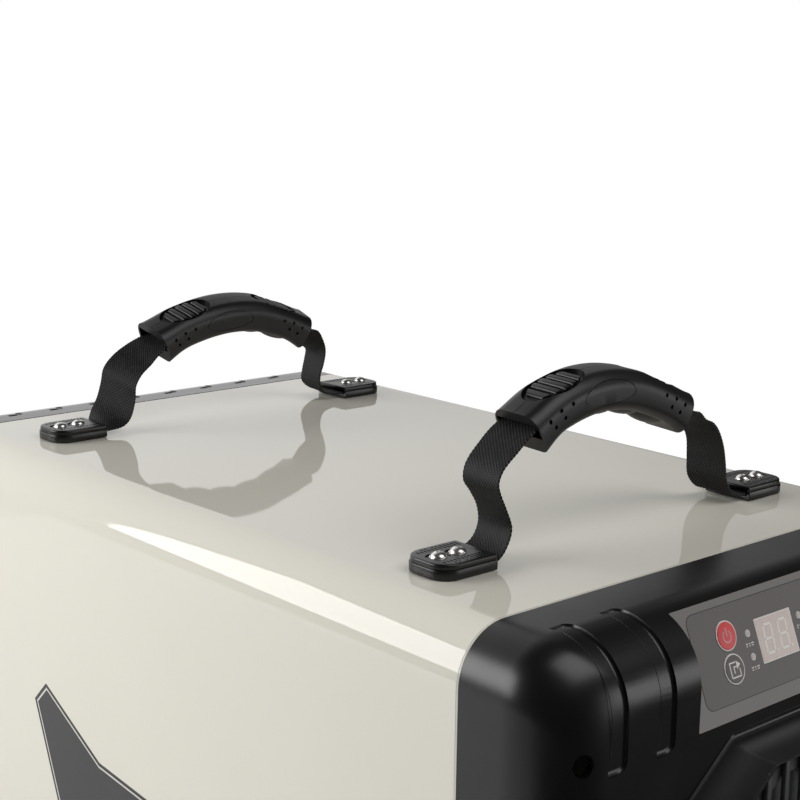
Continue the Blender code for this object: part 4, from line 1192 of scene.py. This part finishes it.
def bracket_slot(x, first, last):
    """The tool of one short slot across the top of a bracket, between two places."""
    return block("slot", (x, min(first, last), BRACKET_HEIGHT - 0.0010),
                 (x + SLOT_WIDTH, max(first, last), BRACKET_HEIGHT + 0.001))


def bracket(end, side_name, side, y):
    """A strap bracket in two layers, with rows of short slots, a mouth and two screw seats."""
    half = BRACKET_WIDTH / 2
    radius = 0.0115
    outline = [(BRACKET_INNER, -half)]
    for start, centre_y in ((-90, -half + radius), (0, half - radius)):
        for k in range(9):
            angle = math.radians(start + 90 * k / 8)
            outline.append((BRACKET_OUTER - radius + radius * math.cos(angle),
                            centre_y + radius * math.sin(angle)))
    outline.append((BRACKET_INNER, half))
    base = plate("bracket_base", outline, GAP, SEAM)
    round_edges(base, 0.0006, 2)
    inner = [(x - 0.0006 if x > BRACKET_INNER else x, across * (1 - 0.0006 / half)) for x, across in outline]
    top = plate("bracket_top", inner, SEAM - 0.0006, BRACKET_HEIGHT)
    round_edges(top, 0.0010, 3)
    cut(base, bracket_mouth())
    tools = [bracket_mouth()]
    for x in SCREWS_X:
        tools.append(rod("screw_seat", (x, 0, BRACKET_HEIGHT), (0, 0, 1), 0.0056, 0.0014, 32))
        tools.append(rod("screw_way", (x, 0, 0.006), (0, 0, 1), 0.0024, 0.02, 16))
    slots = []
    for k in range(12):
        x = BRACKET_INNER + 0.0034 + SLOT_PITCH * k
        for way in (-1, 1):
            first, last = (0.0080, 0.0138) if k < 5 else (0.0088, 0.0118)
            slots.append(bracket_slot(x, way * first, way * last))
            if k in (5, 6, 8, 9):
                slots.append(bracket_slot(x, way * 0.0127, way * 0.0142))
    slots += [bracket_slot(BRACKET_INNER + 0.0138 + SLOT_PITCH * k, -0.0040, 0.0040) for k in (3, 4)]
    tools.append(join(slots[0], *slots[1:]))
    cut(top, *tools)
    piece = join(base, top)
    piece.name = f"{end}_strap_bracket_{side_name}"
    smooth(piece, 35)
    outwards, turn = (0, 0) if side > 0 else (-LEFT_BRACKET_OUT, math.pi)
    place(piece, Matrix.Translation((outwards, y, TOP)) @ Matrix.Rotation(turn, 4, "Z"))
    dress(piece, "case", "satin_black", [f"{end}_bracket_{side_name}"])


def domed_screw(name, place_at, turn):
    """A chromed pan-head screw with a cross recess, on its washer."""
    bpy.ops.object.select_all(action="DESELECT")
    bpy.ops.mesh.primitive_uv_sphere_add(segments=40, ring_count=24, radius=1, scale=(0.0046, 0.0046, 0.0032))
    head = start_piece(name)
    choose(head, "VERT", lambda vertex: True)
    bpy.ops.mesh.bisect(plane_co=(0, 0, 0.0002), plane_no=(0, 0, 1), use_fill=True, clear_inner=True)
    done()
    washer = rod("washer", (0, 0, 0.0001), (0, 0, 1), 0.0052, 0.0006, 40)
    round_edges(washer, 0.0002, 2)
    recess = []
    for across, along in ((0.0006, 0.0024), (0.0024, 0.0006)):
        slot = block("recess", (-across, -along, 0.0020), (across, along, 0.006))
        choose(slot, "FACE", lambda face: face.normal.z < -0.9)
        bpy.ops.transform.resize(value=(0.6, 0.6, 1), center_override=(0, 0, 0.002))
        done()
        recess.append(slot)
    cut(head, *recess)
    cut(head, washer, operation="UNION")
    smooth(head, 30)
    place(head, Matrix.Translation(place_at) @ Matrix.Rotation(turn, 4, "Z"))
    return head


def handle_fixings(end, y):
    for side_name, side in (("left", -1), ("right", 1)):
        bracket(end, side_name, side, y)
        for k, (x, which) in enumerate(zip(SCREWS_X, ("inner", "outer"))):
            screw = domed_screw(f"{end}_screw_{side_name}_{which}",
                                (side * x, y, TOP + BRACKET_HEIGHT - 0.0006), 0.5 + 0.7 * k + side)
            dress(screw, "case", "chrome", [f"{end}_bracket_screw_{side_name}_{which}"])


MOUTH_OUT, MOUTH_IN = BRACKET_INNER + 0.0075, BRACKET_INNER - 0.0005


def front_handle():
    y = FRONT_HANDLE_Y
    handle_fixings("front", y)
    grip("front", y, [(-0.0785, 0.0685), (-0.0600, 0.0790), (-0.0300, 0.0855), (0.0000, 0.0832),
                      (0.0270, 0.0738), (0.0470, 0.0638)], math.radians(3), 0.43)
    webbing("front", y,
            [(-MOUTH_OUT, STRAP_Z), (-MOUTH_IN, 0.0048),
             (-0.1010, 0.0110), (-0.0980, 0.0200), (-0.1020, 0.0300),
             (-0.1070, 0.0400), (-0.1085, 0.0465), (-0.1050, 0.0535), (-0.0955, 0.0610), (-0.0820, 0.0705),
             (-0.0600, 0.0795), (-0.0300, 0.0855), (0.0000, 0.0832), (0.0270, 0.0738), (0.0510, 0.0640),
             (0.0580, 0.0620), (0.0640, 0.0570), (0.0710, 0.0540), (0.0765, 0.0485), (0.0815, 0.0390),
             (0.0845, 0.0280), (0.0865, 0.0170), (0.0915, 0.0095), (0.0985, 0.0055), (MOUTH_IN, STRAP_Z),
             (MOUTH_OUT, STRAP_Z)],
            [(-MOUTH_OUT, STRAP_Z), (-MOUTH_IN, 0.0045),
             (-0.0985, 0.0085), (-0.0940, 0.0170), (-0.0955, 0.0270),
             (-0.1010, 0.0360), (-0.1060, 0.0430), (-0.1045, 0.0515), (-0.0965, 0.0600), (-0.0830, 0.0700),
             (-0.0600, 0.0795), (-0.0300, 0.0855), (0.0000, 0.0832), (0.0270, 0.0738), (0.0500, 0.0630),
             (0.0600, 0.0590), (0.0680, 0.0545), (0.0750, 0.0490), (0.0800, 0.0450), (0.0835, 0.0380),
             (0.0845, 0.0270), (0.0855, 0.0165), (0.0900, 0.0100), (0.0970, 0.0055), (MOUTH_IN, STRAP_Z),
             (MOUTH_OUT, STRAP_Z)])


def rear_handle():
    y = REAR_HANDLE_Y
    handle_fixings("rear", y)
    grip("rear", y, [(-0.0590, 0.0610), (-0.0360, 0.0705), (-0.0050, 0.0765), (0.0250, 0.0758),
                     (0.0520, 0.0680), (0.0725, 0.0585)], math.radians(14), 0.43)
    webbing("rear", y,
            [(-MOUTH_OUT, STRAP_Z), (-MOUTH_IN, 0.0045),
             (-0.0950, 0.0058), (-0.0885, 0.0115), (-0.0850, 0.0230),
             (-0.0840, 0.0330), (-0.0790, 0.0410), (-0.0710, 0.0475), (-0.0610, 0.0560), (-0.0360, 0.0705),
             (-0.0050, 0.0765), (0.0250, 0.0758), (0.0520, 0.0680), (0.0740, 0.0590), (0.0820, 0.0560),
             (0.0870, 0.0480), (0.0890, 0.0400), (0.0870, 0.0300), (0.0840, 0.0220), (0.0840, 0.0140),
             (0.0880, 0.0075), (0.0980, 0.0050), (MOUTH_IN, STRAP_Z), (MOUTH_OUT, STRAP_Z)],
            [(-MOUTH_OUT, STRAP_Z), (-MOUTH_IN, 0.0055),
             (-0.1035, 0.0135), (-0.0985, 0.0225), (-0.0950, 0.0330),
             (-0.0925, 0.0430), (-0.0850, 0.0510), (-0.0740, 0.0575), (-0.0600, 0.0630), (-0.0360, 0.0705),
             (-0.0050, 0.0765), (0.0250, 0.0758), (0.0520, 0.0680), (0.0740, 0.0560), (0.0800, 0.0500),
             (0.0860, 0.0430), (0.0925, 0.0380), (0.0915, 0.0300), (0.0895, 0.0220), (0.0885, 0.0140),
             (0.0930, 0.0085), (0.1000, 0.0052), (MOUTH_IN, STRAP_Z), (MOUTH_OUT, STRAP_Z)])


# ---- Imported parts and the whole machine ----

CAD_FINISH = {"ivory_paint": "ivory_paint", "galvanised_sheet": "galvanised", "black_abs": "satin_black",
              "black_rubber": "rubber", "black_webbing": "webbing", "chrome_screw": "chrome",
              "panel_grey": "label_grey", "display_window": "display_field", "button_red": "key_red",
              "key_grey": "key_grey", "led_lens": "print_white", "circuit_board": "circuit_board",
              "fin_aluminium": "aluminium_fins", "copper_pipe": "copper", "black_steel": "black_steel",
              "filter_mesh": "filter_mesh", "white_nylon": "white_nylon", "grey_plastic": "grey_plastic"}


def dress_packed_parts():
    """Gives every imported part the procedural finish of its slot."""
    for entry in frame["record"]["subparts"]:
        part = frame["nodes"][entry["node"]]
        part.data.materials.clear()
        part.data.materials.append(FINISH[CAD_FINISH[entry["material_slot"]]])


studio()
dress_packed_parts()
painted_sleeve()
front_moulding()
rear_moulding()
intake_moulding()
label_plate()
power_key()
pump_key()
humidity_keys()
lamps()
display()
side_decals()
front_handle()
rear_handle()
